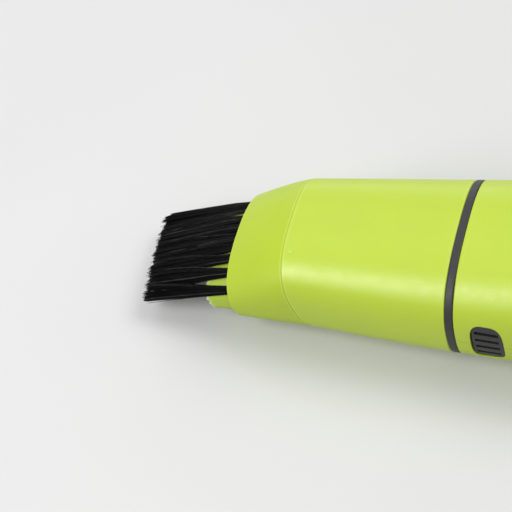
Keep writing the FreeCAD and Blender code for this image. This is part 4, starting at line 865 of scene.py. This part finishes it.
def add_filament(vertices, faces, line, radius):
    """Adds a tapering tube with closed ends along the line."""
    first = len(vertices)
    for i, point in enumerate(line):
        before = line[max(i - 1, 0)]
        after = line[min(i + 1, len(line) - 1)]
        along = (after - before).normalized()
        side = along.cross(Vector((0, 0, 1))).normalized()
        up = along.cross(side)
        share = i / (len(line) - 1)
        r = radius * (1.0 - FILAMENT_TAPER * share ** TAPER_POWER)
        for j in range(FILAMENT_SIDES):
            angle = 2 * math.pi * j / FILAMENT_SIDES + math.pi / 4
            vertices.append(point + side * math.cos(angle) * r + up * math.sin(angle) * r)
        if i:
            last = first + i * FILAMENT_SIDES
            faces += band(last - FILAMENT_SIDES, last, FILAMENT_SIDES)
    faces.append(tuple(first + j for j in reversed(range(FILAMENT_SIDES))))
    faces.append(tuple(last + j for j in range(FILAMENT_SIDES)))


def make_bristles():
    """Nine tufts of single filaments. Within a tuft they hang together in clumps."""
    rng = random.Random(SEED)
    vertices = []
    faces = []
    tones = []
    for tuft in TUFTS:
        clumps = [[rng.uniform(-most, most) for most in CLUMP_CHANGES] for _ in range(CLUMPS)]
        clump_tones = [rng.random() for _ in clumps]
        for _ in range(TUFT_FILAMENTS):
            across = rng.uniform(-1, 1)
            up = rng.random()
            # Its clump's number. The 0.01 keeps the last filament in the last clump.
            near = int((across * 0.5 + 0.5) * (CLUMPS - 0.01))
            shift_across, shift_up, longer = clumps[near]
            centre = (near + 0.5) / (CLUMPS / 2) - 1
            pull = (centre - across) * rng.uniform(0.0, CLUMP_PULL)
            longer += rng.gauss(0, LENGTH_SPREAD)
            line = filament_line(rng, tuft, across, up, (shift_across + pull, shift_up), longer)
            tone = min(1.0, OWN_TONE * rng.random() + CLUMP_TONE * clump_tones[near])
            tones += [tone] * (FILAMENT_SIDES * len(line))
            add_filament(vertices, faces, line, rng.uniform(*FILAMENT_RADII))
    bristles = add_mesh("bristles", [put(*v) for v in vertices], faces)
    store(bristles, "tone", tones)
    finish_piece(bristles, "nozzle", "black_bristle", "brush_tufts")


make_bristles()


# ---- floor and light, in metres -------------------------------------------------------------------------
BACKDROP = 0.78
AMBIENT = 0.33
FLOOR_CLOUDS = (9.0, 2.0, 0.5)
FLOOR_TONES = (0.76, 0.79)
# Its grey as it lights the object.
FLOOR_GLOW = 0.45
FLOOR_ROUGHNESS = 0.9
FLOOR_HALF = 3.0
# The floor turns into the backdrop between these distances from the origin.
FADE_START = 0.22
FADE_END = 0.85
# Name, place, aim, size and power.
LIGHTS = (
    ("key", (0.53, 0.35, 0.87), (-0.02, 0.0, 0.02), (0.60, 0.60), 4.3),
    ("window", (-0.42, -0.42, 0.58), (-0.03, 0.0, 0.02), (0.23, 0.58), 3.4),
    ("ceiling", (-0.42, 0.35, 0.86), (-0.02, 0.0, 0.02), (0.70, 0.70), 1.3),
    ("back", (-0.40, 0.90, 0.24), (-0.02, 0.0, 0.02), (0.90, 0.36), 1.2),
)


def grey(value):
    return (value, value, value)


def seen_directly(tree):
    """1 on rays from the camera, a reflection or glass, 0 on those that carry light between surfaces."""
    path = tree.nodes.new("ShaderNodeLightPath")
    value = path.outputs["Is Camera Ray"]
    for name in ("Is Glossy Ray", "Is Transmission Ray"):
        larger = tree.nodes.new("ShaderNodeMath")
        larger.operation = "MAXIMUM"
        tree.links.new(value, larger.inputs[0])
        tree.links.new(path.outputs[name], larger.inputs[1])
        value = larger.outputs[0]
    return value


def floor_material():
    """Pale floor that fades into the backdrop away from the object, and lights it less than it shows."""
    m = Nodes("floor")
    low, high = FLOOR_TONES
    pale = m.ramp(m.noise(*FLOOR_CLOUDS), "Fac", [(NOISE_LOW, grey(low)), (NOISE_HIGH, grey(high))])
    colour = m.add("ShaderNodeMix", data_type="RGBA")
    m.tree.links.new(seen_directly(m.tree), colour.inputs[MIX_SHARE])
    colour.inputs[MIX_FIRST].default_value = (*grey(FLOOR_GLOW), 1.0)
    m.join(pale, "Color", colour, MIX_SECOND)
    m.join(colour, MIX_RESULT, m.shader, "Base Color")
    m.fill(m.shader, Roughness=FLOOR_ROUGHNESS)
    far = m.add("ShaderNodeVectorMath", operation="LENGTH")
    m.join(m.place, "Object", far, 0)
    fade = m.add("ShaderNodeMapRange", interpolation_type="SMOOTHSTEP")
    m.fill(fade, From_Min=FADE_START, From_Max=FADE_END)
    m.join(far, "Value", fade, "Value")
    glow = m.add("ShaderNodeEmission")
    m.fill(glow, Color=(*grey(BACKDROP), 1.0))
    mix = m.add("ShaderNodeMixShader")
    m.join(fade, "Result", mix, 0)
    m.join(m.shader, "BSDF", mix, 1)
    m.join(glow, "Emission", mix, 2)
    m.join(mix, "Shader", m.out, "Surface")
    return m.material


def make_floor():
    h = FLOOR_HALF
    floor = add_mesh("floor", [(-h, -h, 0), (h, -h, 0), (h, h, 0), (-h, h, 0)], [(0, 1, 2, 3)])
    floor.data.materials.append(floor_material())


def make_world():
    """Even pale surroundings: dimmer as light on the object than as what is seen and reflected."""
    world = bpy.data.worlds.new("world")
    world.use_nodes = True
    tree = world.node_tree
    background = tree.nodes["Background"]
    background.inputs["Color"].default_value = (1.0, 1.0, 1.0, 1.0)
    strength = tree.nodes.new("ShaderNodeMath")
    strength.operation = "MULTIPLY_ADD"
    strength.inputs[1].default_value = BACKDROP - AMBIENT
    strength.inputs[2].default_value = AMBIENT
    tree.links.new(seen_directly(tree), strength.inputs[0])
    tree.links.new(strength.outputs[0], background.inputs["Strength"])
    scene.world = world


def area_light(name, place, aim, size, power):
    data = bpy.data.lights.new(name, "AREA")
    data.shape = "RECTANGLE"
    data.size, data.size_y = size
    data.energy = power
    light = add_object(name, data)
    light.location = place
    light.rotation_mode = "QUATERNION"
    light.rotation_quaternion = (Vector(aim) - Vector(place)).to_track_quat("-Z", "Y")


make_floor()
make_world()
for light in LIGHTS:
    area_light(*light)
scene.view_settings.view_transform = "Standard"
